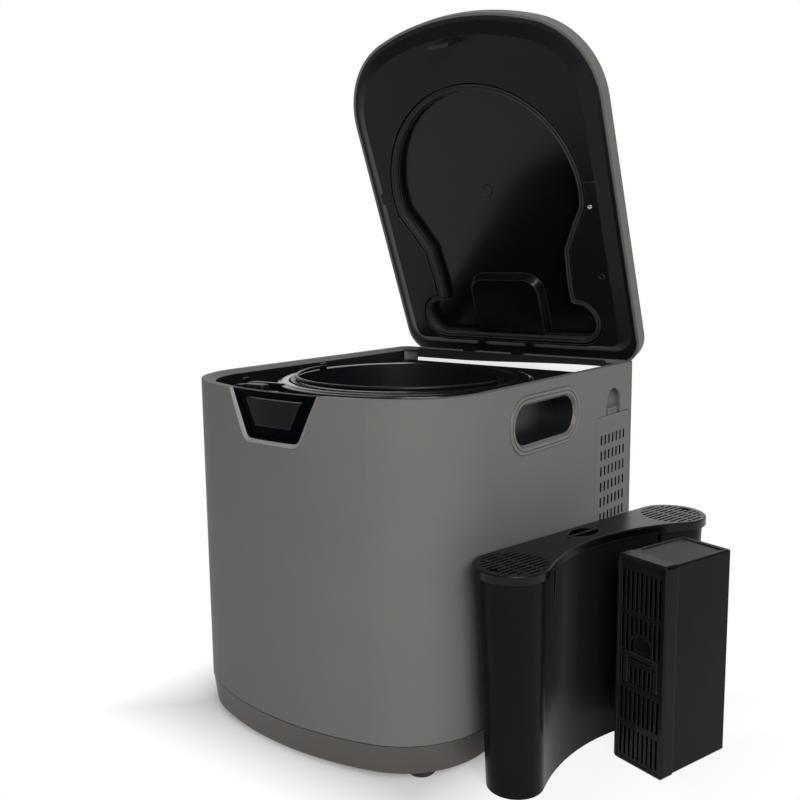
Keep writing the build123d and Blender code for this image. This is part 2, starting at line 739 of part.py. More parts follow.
def case_plan(inset=0.0):
    """The gear case's outline: a rounded box round the three axes."""
    x1 = drive_places()[0][0] + MODULE * WHEEL_TEETH / 2 + 8
    x0 = -MODULE * OUTPUT_TEETH / 2 - 8
    y0 = drive_places()[1][1] - MODULE * PINION_TEETH / 2 - 10
    y1 = BUCKET_Y + MODULE * OUTPUT_TEETH / 2 + 8
    w, h = x1 - x0 - 2 * inset, y1 - y0 - 2 * inset
    return Pos((x0 + x1) / 2, (y0 + y1) / 2) * RectangleRounded(w, h, 14 - inset)


def gear_case():
    """The lower half of the gear case, with the idler's pin and legs to the tray."""
    low, high, top = gear_levels()
    case = slab(case_plan(), CASE_Z, top) - slab(case_plan(CASE_WALL), CASE_Z + CASE_WALL, top + 1)
    (ix, iy), (mx, my) = drive_places()
    case += disc(IDLER_PIN_R, CASE_Z, top, ix, iy)
    case -= disc(MOTOR_SHAFT_R + RUN_PLAY, CASE_Z - 1, CASE_Z + 5, mx, my)
    box = case_plan().bounding_box()
    for x in (box.min.X + 10, box.max.X - 10):
        for y in (box.min.Y + 10, box.max.Y - 10):
            case += disc(6, FOOT_H + SKIRT_FLOOR, CASE_Z, x, y)
    return case


def gear_cover():
    """The lid of the gear case, with the bearing of the output shaft."""
    top = gear_levels()[2]
    cover = slab(case_plan(), top, top + CASE_WALL)
    well_floor = BUCKET_SEAT_Z - HEATER_T - WELL_WALL
    cover += disc(SHAFT_R + 7, top, well_floor, 0, BUCKET_Y)
    return cover - disc(SHAFT_R + RUN_PLAY, top - 1, well_floor + 1, 0, BUCKET_Y)


def motor():
    """The drive motor hanging under the gear case."""
    _, (x, y) = drive_places()
    can = disc(MOTOR_R, CASE_Z - MOTOR_H, CASE_Z, x, y)
    rims = can.edges().filter_by(GeomType.CIRCLE)
    can = fillet(rims.sort_by(Axis.Z)[0], 2)
    return can - disc(MOTOR_SHAFT_R + RUN_PLAY, CASE_Z - 20.3, CASE_Z + 1, x, y)


# Bucket and stirrer


def bucket():
    """A deep round bucket: tapered wall, rolled rim and a raised boss for the stirrer."""
    z0, z1 = BUCKET_SEAT_Z, RING_TOP + BUCKET_RIM_UP
    r0, r1 = BUCKET_R - BUCKET_TAPER, BUCKET_R
    t, c = BUCKET_WALL, BUCKET_ROUND
    boss = BOSS_R
    outer = [(0, z0), (r0 - c, z0), (r0, z0 + c), (r1, z1), (0, z1)]
    profile = Polyline(*outer, close=True)
    solid = revolve(Plane.XZ * make_face(profile), Axis.Z)
    inner = [(0, z0 + BUCKET_FLOOR), (r0 - t - c, z0 + BUCKET_FLOOR), (r0 - t, z0 + c + 2),
             (r1 - t, z1 + 1), (0, z1 + 1)]
    solid -= revolve(Plane.XZ * make_face(Polyline(*inner, close=True)), Axis.Z)
    solid += disc(boss, z0, z0 + BOSS_H)
    solid -= disc(boss - 3, z0 - 1, z0 + BOSS_H - 3)
    solid -= disc(SHAFT_R + RUN_PLAY, z0, z0 + BOSS_H + 1)
    rim = disc(BUCKET_RIM_R, z1 - BUCKET_RIM_T, z1) - disc(r1 - t, z1 - 9, z1 + 1)
    solid += rim
    for side in (-1, 1):
        ear = block(-4, 4, -1, 1, z1 - 1, z1 + EAR_UP)
        ear = Pos(side * (BUCKET_RIM_R - 2), 0, 0) * Rot(0, 0, 90) * ear
        solid += ear
    solid -= bar_x(BAIL_PIN_R + HINGE_PLAY, -120, 120, 0, z1 + BAIL_UP)
    return Pos(0, BUCKET_Y, 0) * solid


def bucket_bail():
    """The bucket's wire handle, folded down along the rim, pivoting in two ears."""
    z = RING_TOP + BUCKET_RIM_UP + BAIL_UP
    r = BUCKET_RIM_R - BAIL_IN
    bail = mirror(revolve(Plane.XZ * Pos(r, z) * Circle(BAIL_R), Axis.Z, 180), Plane.XZ)
    for side in (-1, 1):
        x0, x1 = sorted((side * r, side * (BUCKET_RIM_R + 0.5)))
        bail += bar_x(BAIL_PIN_R, x0, x1, 0, z)
    return Pos(0, BUCKET_Y, 0) * bail


def stirrer():
    """The rotor: a hub over the boss, a spindle with a slotted clutch, and raked paddles."""
    z0 = BUCKET_SEAT_Z
    gap = 0.6
    hub = disc(ROTOR_HUB_R, z0 + BUCKET_FLOOR + gap, z0 + BOSS_H + 12)
    rims = hub.edges().filter_by(GeomType.CIRCLE).sort_by(Axis.Z)
    hub = fillet(rims[-1], 6)
    hub -= disc(BOSS_R + gap, z0, z0 + BOSS_H + gap)
    hub += disc(SHAFT_R, z0 + 12, z0 + BOSS_H + 4)
    clutch = disc(COUPLER_R - 0.5, z0 + 3.4, z0 + 15)
    clutch -= Pos(0, 0, z0 + 6.5) * Box(40, BLADE_T + 2 * FIT, 6.6)
    hub += clutch
    for i in range(ROTOR_ARMS):
        arm = Rot(0, 0, 360 * i / ROTOR_ARMS) * paddle(z0 + BUCKET_FLOOR + gap)
        hub += arm
    return Pos(0, BUCKET_Y, 0) * hub


def paddle(z0):
    """One paddle: a curved vane that leans back and drops in height towards its tip."""
    tip = ROTOR_REACH - BUCKET_ROUND
    inner = ROTOR_HUB_R - 4
    mid = (inner + tip) / 2
    front = ThreePointArc((inner, -5), (mid, 7), (tip, -3))
    back = ThreePointArc((tip, 3), (mid, 14), (inner, 8))
    face = make_face(Wire([front, Line((tip, -3), (tip, 3)), back, Line((inner, 8), (inner, -5))]))
    vane = extrude(Pos(0, 0, z0) * face, 22, dir=(0, 0, 1), taper=6)
    slope = Pos(tip, 0, z0 + 30) * Rot(0, 18, 0) * Box(90, 60, 26)
    return vane - slope


# Lid


def keyhole(grow=0.0):
    """The lid's keyhole: a half circle, a narrowing waist and two round lobes."""
    half = Pos(0, BUCKET_Y) * Circle(KEY_R)
    half &= Pos(0, BUCKET_Y - KEY_R) * Rectangle(2 * KEY_R + 2, 2 * KEY_R)
    waist = [(KEY_R, BUCKET_Y - 1), (KEY_R - 1.5, 8), (92, 24), (78, 50), (75, 86), (76, 126)]
    points = waist + [(-x, y) for x, y in reversed(waist)]
    face = half + make_face(Polyline(*points, close=True))
    for side in (-1, 1):
        face += Pos(side * 82, 126) * Circle(17)
    face += Pos(0, 126) * Rectangle(164, 34)
    return offset(face, grow, kind=Kind.ARC) if grow else face


def lid_shell():
    """The painted lid: a shallow dish with rounded outer edges, open below."""
    lid = slab(body_plan(0, LID_REAR_R), LID_Z, LID_TOP)
    top = lid.faces().sort_by(Axis.Z)[-1]
    lid = fillet(top.edges(), LID_ROUND)
    inner = slab(body_plan(LID_WALL, LID_REAR_R), LID_Z - 1, LID_TOP - LID_WALL)
    inner = fillet(inner.faces().sort_by(Axis.Z)[-1].edges(), LID_ROUND - LID_WALL)
    return lid - inner


def lid_liner():
    """The black lining: flat edge, sloped flank, proud field and the keyhole step."""
    z = LID_Z
    inset = LID_WALL + FIT
    rear = LID_REAR_R
    outer = slab(body_plan(inset, rear), z, z + LINER_T)
    flank_in = LINER_FLAT + LINER_SLOPE
    foot_y = BACK - FIELD_BACK
    rise = lofted(body_plan(LINER_FLAT, rear, foot_y), z,
                  body_plan(flank_in, rear, foot_y + 3), LINER_Z)
    hollow = lofted(body_plan(LINER_FLAT + LINER_T, rear, foot_y), z + LINER_T + 0.01,
                    body_plan(flank_in + LINER_T, rear, foot_y + 3), LINER_Z + LINER_T)
    deep = LINER_Z + KEY_DEEP
    step = LINER_Z + KEY_STEP
    tray = slab(keyhole(LINER_T), step, deep + LINER_T)
    rim = slab(keyhole(KEY_GROOVE + LINER_T), LINER_Z, step + LINER_T)
    liner = outer + rise - hollow + rim + tray
    liner -= slab(keyhole(KEY_GROOVE), LINER_Z - 1, step)
    liner -= slab(keyhole(0), LINER_Z - 1, deep)
    for side in (-1, 1):
        x0, x1 = sorted((side * (KEY_R + KEY_GROOVE + 1), side * (HALF - flank_in + 2)))
        liner += block(x0, x1, BUCKET_Y - 10, BUCKET_Y + 1, LINER_Z - BAR_RISE, LINER_Z + 1)
    for x in HINGE_X:
        liner += hinge_arm(x)
    slot = block(-STRIKER_W / 2 - 0.2, STRIKER_W / 2 + 0.2, STRIKER_Y - 1.7, STRIKER_Y + 1.7,
                 LINER_Z - 5, z + 5)
    return liner - slot


def lofted(low_face, low_z, high_face, high_z):
    """A straight-sided solid between two outlines at two heights."""
    return loft([Pos(0, 0, low_z) * low_face, Pos(0, 0, high_z) * high_face], ruled=True)


def hinge_arm(x):
    """One hinge arm: a plate from the lining's back edge down to a round eye."""
    wall_y = BACK - LID_WALL - FIT
    points = [(BACK - RIM_BAND + 0.5, LID_Z + 1), (wall_y, LID_Z + 1), (wall_y, LID_Z - FIT),
              (BACK + 0.5, LID_Z - 1.8), (HINGE_Y + ARM_R - 0.6, HINGE_Z + 2),
              (HINGE_Y, HINGE_Z - ARM_R + 0.6), (HINGE_Y - ARM_R + 0.6, HINGE_Z + 1)]
    face = Plane.YZ.offset(x - ARM_W / 2) * make_face(Polyline(*points, close=True))
    arm = extrude(face, ARM_W, dir=(1, 0, 0))
    arm += bar_x(ARM_R - 0.5, x - ARM_W / 2, x + ARM_W / 2, HINGE_Y, HINGE_Z)
    return arm - bar_x(HINGE_PIN_R + HINGE_PLAY, x - ARM_W, x + ARM_W, HINGE_Y, HINGE_Z)


def lid_panel():
    """The glossy plate in the keyhole, with the hump that dips towards the filter."""
    deep = LINER_Z + KEY_DEEP
    panel = slab(keyhole(-0.5), deep - 2, deep)
    size = HUMP_Y1 - HUMP_Y0
    plan = RectangleRounded(HUMP_W, size, HUMP_ROUND)
    hump = extrude(Pos(0, (HUMP_Y0 + HUMP_Y1) / 2, deep - 2) * plan, HUMP_H - 2, dir=(0, 0, -1),
                   taper=30)
    panel += hump & slab(keyhole(-0.5), deep - HUMP_H - 1, deep)
    return panel - disc(PLUG_R + 0.05, deep - 5, deep + 1, 0, BUCKET_Y - 4)


def lid_plug():
    """The round plug in the middle of the plate."""
    deep = LINER_Z + KEY_DEEP
    plug = disc(PLUG_R, deep - 3, deep, 0, BUCKET_Y - 4)
    return plug - disc(PLUG_R - 1.5, deep - 4, deep - 2.4, 0, BUCKET_Y - 4)


def lid_seal():
    """The soft seal in the keyhole's groove."""
    mid = KEY_GROOVE / 2
    ring = keyhole(mid + SEAL_W / 2) - keyhole(mid - SEAL_W / 2)
    low = RING_TOP + BUCKET_RIM_UP + SEAL_LOW
    return slab(ring, low, LINER_Z + KEY_STEP)


def striker():
    """The looped tongue under the lid's front edge that the latch hooks."""
    z0 = DECK_Z - 10
    plate = block(-STRIKER_W / 2, STRIKER_W / 2, STRIKER_Y - STRIKER_T / 2,
                  STRIKER_Y + STRIKER_T / 2, z0, LID_Z + 1)
    w = STRIKER_W / 2 - 3.5
    return plate - block(-w, w, STRIKER_Y - 5, STRIKER_Y + 5, z0 + 3, DECK_Z + 1)


# Exhaust fan and electronics


def fan_housing():
    """The blower's scroll beside the box socket, with its inlet above."""
    z0 = FAN_Z - FAN_R - 6
    scroll = block(FAN_X - FAN_W / 2 - 4, FAN_X + FAN_W / 2 + 4, FAN_Y - 30, FAN_Y + 30, z0,
                   FAN_Z + FAN_R + 6)
    scroll -= bar_x(FAN_R + 2, FAN_X - FAN_W / 2 - 1.5, FAN_X + FAN_W / 2 + 1.5, FAN_Y, FAN_Z)
    neck = disc(15, FAN_Z + FAN_R, BAY_FLOOR_Z - BAY_WALL, FAN_X + 8, FAN_Y)
    scroll += neck
    scroll -= disc(12.5, FAN_Z + 5, BAY_FLOOR_Z + 1, FAN_X + 8, FAN_Y)
    side = FAN_X + FAN_W / 2 + 4
    scroll -= bar_x(9, side - 4, side + 1, FAN_Y, FAN_Z - 2)
    for y in (FAN_Y - 24, FAN_Y + 24):
        scroll += disc(5, FOOT_H + SKIRT_FLOOR, z0, FAN_X, y)
    axle = bar_x(2.0, FAN_X - FAN_W / 2 - 3, FAN_X + FAN_W / 2 - 2, FAN_Y, FAN_Z)
    return scroll + axle


def fan_impeller():
    """A drum impeller: a disc, a hub and forward-set vanes."""
    x0 = FAN_X - FAN_W / 2
    wheel = bar_x(FAN_R, x0, x0 + 2, FAN_Y, FAN_Z) + bar_x(5, x0, x0 + FAN_W - 1, FAN_Y, FAN_Z)
    for i in range(FAN_BLADES):
        vane = Pos(x0 + FAN_W / 2 - 0.5, 0, FAN_R - 5) * Rot(25, 0, 0) * Box(FAN_W - 1, 1.2, 7)
        wheel += Pos(0, FAN_Y, FAN_Z) * Rot(360 * i / FAN_BLADES, 0, 0) * vane
    return wheel - bar_x(2.0 + RUN_PLAY, x0 - 1, x0 + FAN_W - 1.7, FAN_Y, FAN_Z)


def control_board():
    """The control board on four posts, with its larger parts."""
    x0, x1, y0, y1 = -118.0, -58.0, -40.0, 50.0
    z = 40.0
    board = block(x0, x1, y0, y1, z, z + 1.6)
    for x in (x0 + 5, x1 - 5):
        for y in (y0 + 5, y1 - 5):
            board += disc(3, FOOT_H + SKIRT_FLOOR, z, x, y)
    board += block(x0 + 12, x0 + 32, y0 + 10, y0 + 34, z, z + 18)
    board += disc(6, z, z + 22, x1 - 14, y0 + 18)
    board += disc(6, z, z + 22, x1 - 14, y0 + 34)
    return board + block(x0 + 10, x1 - 12, y1 - 22, y1 - 12, z, z + 9)


# Filters


def saddle_plan(inset=0.0, nearer=0.0):
    """Two round lobes joined by a straight back and a hollow front."""
    h = SADDLE_L / 2 - nearer
    r = SADDLE_R - inset
    rc = SADDLE_RC + inset
    yc = -sqrt((SADDLE_RC + SADDLE_R) ** 2 - h**2)
    a = atan2(-yc, h)
    tx, ty = rc * cos(a), yc + rc * sin(a)
    edges = [
        ThreePointArc((tx, ty), (0, yc + rc), (-tx, ty)),
        ThreePointArc((-tx, ty), (-h - r * cos(0.35), -r * sin(0.35)), (-h, r)),
        Line((-h, r), (h, r)),
        ThreePointArc((h, r), (h + r * cos(0.35), -r * sin(0.35)), (tx, ty)),
    ]
    return make_face(Wire(edges))


def on_floor(part, pos, turn):
    """A filter drawn about its own middle, turned and set down in its place."""
    return Pos(pos[0], pos[1], 0) * Rot(0, 0, turn) * part


def saddle_canister():
    """The carbon canister's tapered body, open at the top."""
    top = SADDLE_H - SADDLE_LIP
    low = SADDLE_INSET + SADDLE_TAPER
    outer = lofted(saddle_plan(low, SADDLE_NARROW), 0, saddle_plan(SADDLE_INSET), top)
    inner = lofted(saddle_plan(low + SADDLE_WALL, SADDLE_NARROW), SADDLE_WALL,
                   saddle_plan(SADDLE_INSET + SADDLE_WALL), top + 0.01)
    body = outer - inner
    for side in (-1, 1):
        body -= saddle_notch(side * SADDLE_L * NOTCH_AT)
        for i in range(4):
            x, y = side * (SADDLE_L / 2 - SADDLE_NARROW), (i - 1.5) * VENT_STEP
            body -= block(x - VENT_L / 2, x + VENT_L / 2, y - 1.5, y + 1.5, -1, SADDLE_WALL + 1)
    return on_floor(body, SADDLE_POS, SADDLE_TURN)


def saddle_notch(x):
    """A pointed slit in the hollow front that starts under the lip and narrows downwards."""
    top = SADDLE_H - SADDLE_LIP - 1
    w = NOTCH_W / 2
    face = make_face(Polyline((x - w, top), (x + w, top), (x + 0.4, top - NOTCH_H),
                              (x - 0.4, top - NOTCH_H), close=True))
    y = saddle_front(x)
    return extrude(Plane.XZ.offset(NOTCH_DEEP - y) * face, 2 * NOTCH_DEEP, dir=(0, 1, 0))


def saddle_front(x):
    """How far forward the canister's hollow front stands at x."""
    yc = -sqrt((SADDLE_RC + SADDLE_R) ** 2 - (SADDLE_L / 2) ** 2)
    return yc + sqrt((SADDLE_RC + SADDLE_INSET) ** 2 - x**2)


def saddle_slots():
    """The slots over both lobes, in rows clipped by the lobe's circle and split by a rib."""
    slots = []
    for side in (-1, 1):
        cx = side * SADDLE_L / 2
        for i in range(-5, 6):
            y = i * SLOT_STEP
            reach = sqrt(max(SLOT_REACH**2 - y**2, 0)) - 1
            for x0, x1 in ((-reach - 3, -6.5), (-4.5, 8.0), (10.0, reach)):
                if x1 - x0 > 3:
                    slot = Rectangle(x1 - x0, SLOT_BAR)
                    slots.append(Pos(cx + side * (x0 + x1) / 2, y - 1) * slot)
        slots.append(Pos(cx + side * (SLOT_REACH - 4), -1) * Circle(3.4))
    return slots


def saddle_top():
    """The canister's lid: a lipped plate with slotted lobes and a pinch grip in the middle."""
    z0 = SADDLE_H - SADDLE_LIP
    plate = slab(saddle_plan(), z0, SADDLE_H)
    plate = fillet(plate.faces().sort_by(Axis.Z)[-1].edges(), 1.2)
    plate -= slab(saddle_plan(SADDLE_INSET + SADDLE_WALL), z0 - 1, SADDLE_H - SADDLE_PLATE)
    cuts = saddle_slots()
    y = (SADDLE_R + saddle_front(0)) / 2
    for side in (-1, 1):
        w = PINCH_W / 2
        bow = make_face(Wire([Line((-w, 0), (w, 0)), ThreePointArc((w, 0), (0, PINCH_BOW), (-w, 0))]))
        bow = bow if side > 0 else Rot(0, 0, 180) * bow
        cuts.append(Pos(0, y + side * PINCH_RIB / 2) * bow)
        cuts.append(Pos(side * (w + 4.5), y + side * 1.5) * Circle(1.8))
    tool = [extrude(Pos(0, 0, z0 - 1) * c, SADDLE_LIP + 3, dir=(0, 0, 1)) for c in cuts]
    return on_floor(plate - tool, SADDLE_POS, SADDLE_TURN)


def saddle_pouch():
    """The carbon fill inside the canister."""
    low = SADDLE_INSET + SADDLE_TAPER + SADDLE_WALL + 0.5
    fill = slab(saddle_plan(low, SADDLE_NARROW), SADDLE_WALL, SADDLE_H - SADDLE_HEADROOM)
    for side in (-1, 1):
        x = side * SADDLE_L * NOTCH_AT
        fill -= block(x - NOTCH_W, x + NOTCH_W, saddle_front(x) - NOTCH_DEEP - 1,
                      saddle_front(x) + 5, -1, SADDLE_H)
    return on_floor(fill, SADDLE_POS, SADDLE_TURN)


def box_case():
    """The box filter's case, open towards the grille and with a sunk top."""
    y0 = BOX_FRAME_D
    t = BOX_WALL
    case = block(1, BOX_W - 1, y0, BOX_D, 1, BOX_H - 1)
    case = fillet(case.edges().filter_by(Axis.Y), 1.5)
    case -= block(1 + t, BOX_W - 1 - t, y0 - 1, BOX_D - t, 1 + t, BOX_H - 2 - t)
    case -= block(4, BOX_W - 4, y0 + 9, BOX_D - 4, BOX_H - 1.8, BOX_H)
    return on_floor(case, BOX_POS, BOX_TURN)


def grille_rows():
    """The slot rows as low and high z and the columns they span to each side of the middle."""
    inside = HANDLE_TOP - HANDLE_LEG
    return [(5.5, 30, 4), (35, 61, 4), (inside, HANDLE_TOP - 10, 2), (93, 121, 4), (125, 157, 4)]


def box_front():
    """The front frame of the box filter with its rows of upright slots and a thumb scoop."""
    frame = block(0, BOX_W, 0, BOX_FRAME_D, 0, BOX_H)
    frame = fillet(frame.edges().filter_by(Axis.Y), 3.0)
    frame = chamfer(frame.faces().sort_by(Axis.Y)[0].edges(), 1.0)
    frame -= block(4, BOX_W - 4, BOX_FACE_T, BOX_FRAME_D + 1, 4, BOX_H - 4)
    frame -= block(3, BOX_W - 3, -1, 0.8, 3, BOX_H - 3)
    half = GRILLE_SLOT / 2
    thumb_z = HANDLE_TOP + 5
    cuts = []
    for low, high, span in grille_rows():
        for k in range(-span, span + 1):
            x = BOX_W / 2 + k * GRILLE_PITCH
            start = low
            reach = abs(k) * GRILLE_PITCH - half
            if low < thumb_z + THUMB_R < high and reach < THUMB_R:
                start = thumb_z + sqrt(THUMB_R**2 - max(reach, 0) ** 2) + 2
            cuts.append(block(x - half, x + half, -2, BOX_FACE_T + 2, start, high))
    frame -= cuts
    frame -= handle_groove()
    thumb = Pos(BOX_W / 2, 2, thumb_z) * Rot(90, 0, 0) * Cylinder(THUMB_R, 6.0)
    above = block(0, BOX_W, -2, 6, HANDLE_TOP + 1, HANDLE_TOP + 30)
    frame -= thumb & above
    return on_floor(frame, BOX_POS, BOX_TURN)


def handle_groove():
    """The U-shaped groove that the folded pull handle lies in."""
    g = HANDLE_GAP
    w, t = HANDLE_W / 2 + g, HANDLE_TOP + g
    low = HANDLE_TOP - HANDLE_LEG - g
    outer = block(BOX_W / 2 - w, BOX_W / 2 + w, -1, HANDLE_DEPTH, low, t)
    inner_w = HANDLE_W / 2 - HANDLE_BAR - g
    inner = block(BOX_W / 2 - inner_w, BOX_W / 2 + inner_w, -2, 5, low - 1,
                  HANDLE_TOP - HANDLE_BAR - g)
    reach = HANDLE_W / 2 + g + 1.2
    y, z = handle_axis()
    pin = bar_x(HANDLE_PIN_R + HINGE_PLAY, BOX_W / 2 - reach, BOX_W / 2 + reach, y, z)
    return outer - inner + pin


def handle_axis():
    """The pull handle's pivot line in the filter's own frame, as y and z."""
    return HANDLE_DEPTH / 2, HANDLE_TOP - HANDLE_LEG + 1.6


def box_handle():
    """The pull handle: a flat U on two pivots at the ends of its legs."""
    w = HANDLE_W / 2
    bar = block(-w, w, 0.9, HANDLE_DEPTH - 0.7, HANDLE_TOP - HANDLE_LEG, HANDLE_TOP)
    bar = fillet(bar.edges().filter_by(Axis.Y).group_by(Axis.Z)[-1], 2.0)
    bar -= block(-w + HANDLE_BAR, w - HANDLE_BAR, -1, 5, HANDLE_TOP - HANDLE_LEG - 1,
                 HANDLE_TOP - HANDLE_BAR)
    y, z = handle_axis()
    for side in (-1, 1):
        x0, x1 = sorted((side * (w - 1), side * (w + HANDLE_GAP + 1)))
        bar += bar_x(HANDLE_PIN_R, x0, x1, y, z)
    return on_floor(Pos(BOX_W / 2, 0, 0) * bar, BOX_POS, BOX_TURN)


def open_lid(part):
    """A piece of the lid, turned from shut to the stored open pose."""
    axis = Axis((0, HINGE_Y, HINGE_Z), (1, 0, 0))
    return part.rotate(axis, -LID_OPEN)


PARTS = {
    "outer_shell": outer_shell,
    "base_tray": base_tray,
    "rubber_feet": feet,
    "top_deck": top_deck,
    "filter_bay": filter_bay,
    "bucket_well": bucket_well,
    "heater_plate": heater_plate,
    "front_panel": front_panel,
    "latch_guide": latch_guide,
    "grip_cup_right": lambda: grip_cup(1),
    "grip_cup_left": lambda: grip_cup(-1),
    "door_frame": door_frame,
    "dust_pad": dust_pad,
    "box_socket": box_socket,
    "hinge_bracket": hinge_bracket,
    "hinge_pins": hinge_pins,
    "power_inlet": power_inlet,
    "gear_case": gear_case,
    "gear_cover": gear_cover,
    "motor": motor,
    "fan_housing": fan_housing,
    "control_board": control_board,
    "motor_pinion": motor_pinion,
    "idler_gears": idler_gears,
    "output_gear": output_gear,
    "drive_coupler": drive_coupler,
    "fan_impeller": fan_impeller,
    "button_cap": button_cap,
    "latch_slider": latch_slider,
    "side_door": side_door,
    "door_latch": door_latch,
    "bucket": bucket,
    "bucket_bail": bucket_bail,
    "stirrer": stirrer,
    "saddle_canister": saddle_canister,
    "saddle_top": saddle_top,
    "saddle_pouch": saddle_pouch,
    "box_case": box_case,
    "box_front": box_front,
    "box_handle": box_handle,
    "lid_shell": lambda: open_lid(lid_shell()),
    "lid_liner": lambda: open_lid(lid_liner()),
    "lid_panel": lambda: open_lid(lid_panel()),
    "lid_plug": lambda: open_lid(lid_plug()),
    "lid_seal": lambda: open_lid(lid_seal()),
    "striker": lambda: open_lid(striker()),
}


def main():
    os.makedirs("parts", exist_ok=True)
    for name, make in PARTS.items():
        part = Pos(-ORIGIN_X, -ORIGIN_Y, 0) * make()
        export_step(part, f"parts/{name}.step")
        print(name)


main()
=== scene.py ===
from math import cos, pi, radians, sin

import bmesh
import bpy
import numpy as np
from mathutils import Matrix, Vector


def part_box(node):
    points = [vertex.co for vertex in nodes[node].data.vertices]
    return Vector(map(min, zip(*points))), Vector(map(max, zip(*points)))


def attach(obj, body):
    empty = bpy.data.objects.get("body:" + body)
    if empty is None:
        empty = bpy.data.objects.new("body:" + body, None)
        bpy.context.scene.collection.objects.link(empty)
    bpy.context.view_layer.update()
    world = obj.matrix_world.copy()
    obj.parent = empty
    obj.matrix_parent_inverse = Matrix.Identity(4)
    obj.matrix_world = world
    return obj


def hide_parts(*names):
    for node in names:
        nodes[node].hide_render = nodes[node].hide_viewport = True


# Looks of an electric kitchen composter with its lid open and two carbon filters beside it.
# The machine's own drawing frame is used below: millimetres, x and y from the middle of the
# cabinet, so every place is moved by OFFSET and divided by 1000 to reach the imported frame.

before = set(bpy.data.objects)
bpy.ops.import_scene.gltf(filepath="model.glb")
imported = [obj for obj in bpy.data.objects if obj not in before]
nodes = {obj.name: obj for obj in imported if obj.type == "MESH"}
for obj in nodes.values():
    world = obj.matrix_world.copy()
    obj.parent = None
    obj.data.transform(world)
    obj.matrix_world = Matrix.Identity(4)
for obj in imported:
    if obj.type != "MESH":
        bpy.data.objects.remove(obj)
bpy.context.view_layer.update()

OFFSET = np.array([-70.1, -16.3, 0.0])

# Sizes that the new pieces share with the solids, in millimetres and degrees
HALF = 140.0  # half the cabinet's width
CROWN_R, CROWN_Y = 264.0, 90.0  # the front's shallow arc and its centre
CORNER_R, CORNER_X, CORNER_Y = 81.0, 59.0, -83.2  # the arcs from the front to the sides
CORNER_TURN = -108.8  # the direction in which crown and corner meet
DECK_Z, RIM_Z = 280.0, 294.0
PANEL_FOOT, PANEL_HEAD = (29.0, 253.0), (49.0, RIM_Z)  # half width and height of its cut-out
PANEL_ROUND = 9.6
LID_OPEN = 68.5
HINGE_Y, HINGE_Z = 176.5, 278.5
BUCKET_Y = -4.0
KEY_R = 103.0  # the round part of the keyhole in the lid's lining
KEY_GROOVE = 8.0
LOBE_X, LOBE_Y, LOBE_R = 82.0, 126.0, 17.0  # the keyhole's two round lobes
LINER_Z = 289.0  # the lining's face on the shut lid
SADDLE_X, SADDLE_Y, SADDLE_TURN = 192.4, -3.6, 78.3


# Shader building blocks


def new_group(name, inputs, outputs):
    """An empty shader node group with named inputs (name, kind, default) and outputs."""
    tree = bpy.data.node_groups.new(name, "ShaderNodeTree")
    for label, kind, default in inputs:
        socket = tree.interface.new_socket(label, in_out="INPUT", socket_type=kind)
        if default is not None:
            socket.default_value = default
    for label, kind in outputs:
        tree.interface.new_socket(label, in_out="OUTPUT", socket_type=kind)
    entry = tree.nodes.new("NodeGroupInput")
    leave = tree.nodes.new("NodeGroupOutput")
    return tree, entry, leave


def node(tree, kind, **values):
    """A node with its settings; a value whose name is a socket goes to that socket."""
    made = tree.nodes.new(kind)
    for key, value in values.items():
        if hasattr(made, key):
            setattr(made, key, value)
        else:
            made.inputs[key.replace("_", " ")].default_value = value
    return made


def math_node(tree, operation, a, b=None, clamp=False):
    """One Math node; a and b are sockets or numbers. Returns its output socket."""
    made = tree.nodes.new("ShaderNodeMath")
    made.operation = operation
    made.use_clamp = clamp
    for slot_index, value in enumerate((a, b)):
        if value is None:
            continue
        if isinstance(value, (int, float)):
            made.inputs[slot_index].default_value = value
        else:
            tree.links.new(value, made.inputs[slot_index])
    return made.outputs[0]


def spread(tree, value, low_in, high_in, low_out, high_out):
    """Map Range from one span to another, clamped."""
    made = tree.nodes.new("ShaderNodeMapRange")
    tree.links.new(value, made.inputs["Value"])
    for label, number in (("From Min", low_in), ("From Max", high_in), ("To Min", low_out),
                          ("To Max", high_out)):
        made.inputs[label].default_value = number
    return made.outputs["Result"]


def mix_colour(tree, fac, a, b):
    """Mix two colours by a factor socket; a and b are colours or sockets."""
    made = tree.nodes.new("ShaderNodeMix")
    made.data_type = "RGBA"
    tree.links.new(fac, made.inputs[0])
    for label, value in ((6, a), (7, b)):
        if isinstance(value, tuple):
            made.inputs[label].default_value = (*value, 1.0)
        else:
            tree.links.new(value, made.inputs[label])
    return made.outputs[2]


def object_axes(tree):
    """X, Y and Z of a piece's own coordinates, as three sockets."""
    where = node(tree, "ShaderNodeTexCoord")
    parts = node(tree, "ShaderNodeSeparateXYZ")
    tree.links.new(where.outputs["Object"], parts.inputs["Vector"])
    return parts.outputs


def add_bump(tree, shader, height, depth, rounded=None):
    """Bumps a shader by a height socket, over a normal with rounded edges if there is one."""
    bump = tree.nodes.new("ShaderNodeBump")
    bump.inputs["Distance"].default_value = depth
    tree.links.new(height, bump.inputs["Height"])
    if rounded is not None:
        tree.links.new(rounded, bump.inputs["Normal"])
    tree.links.new(bump.outputs["Normal"], shader.inputs["Normal"])


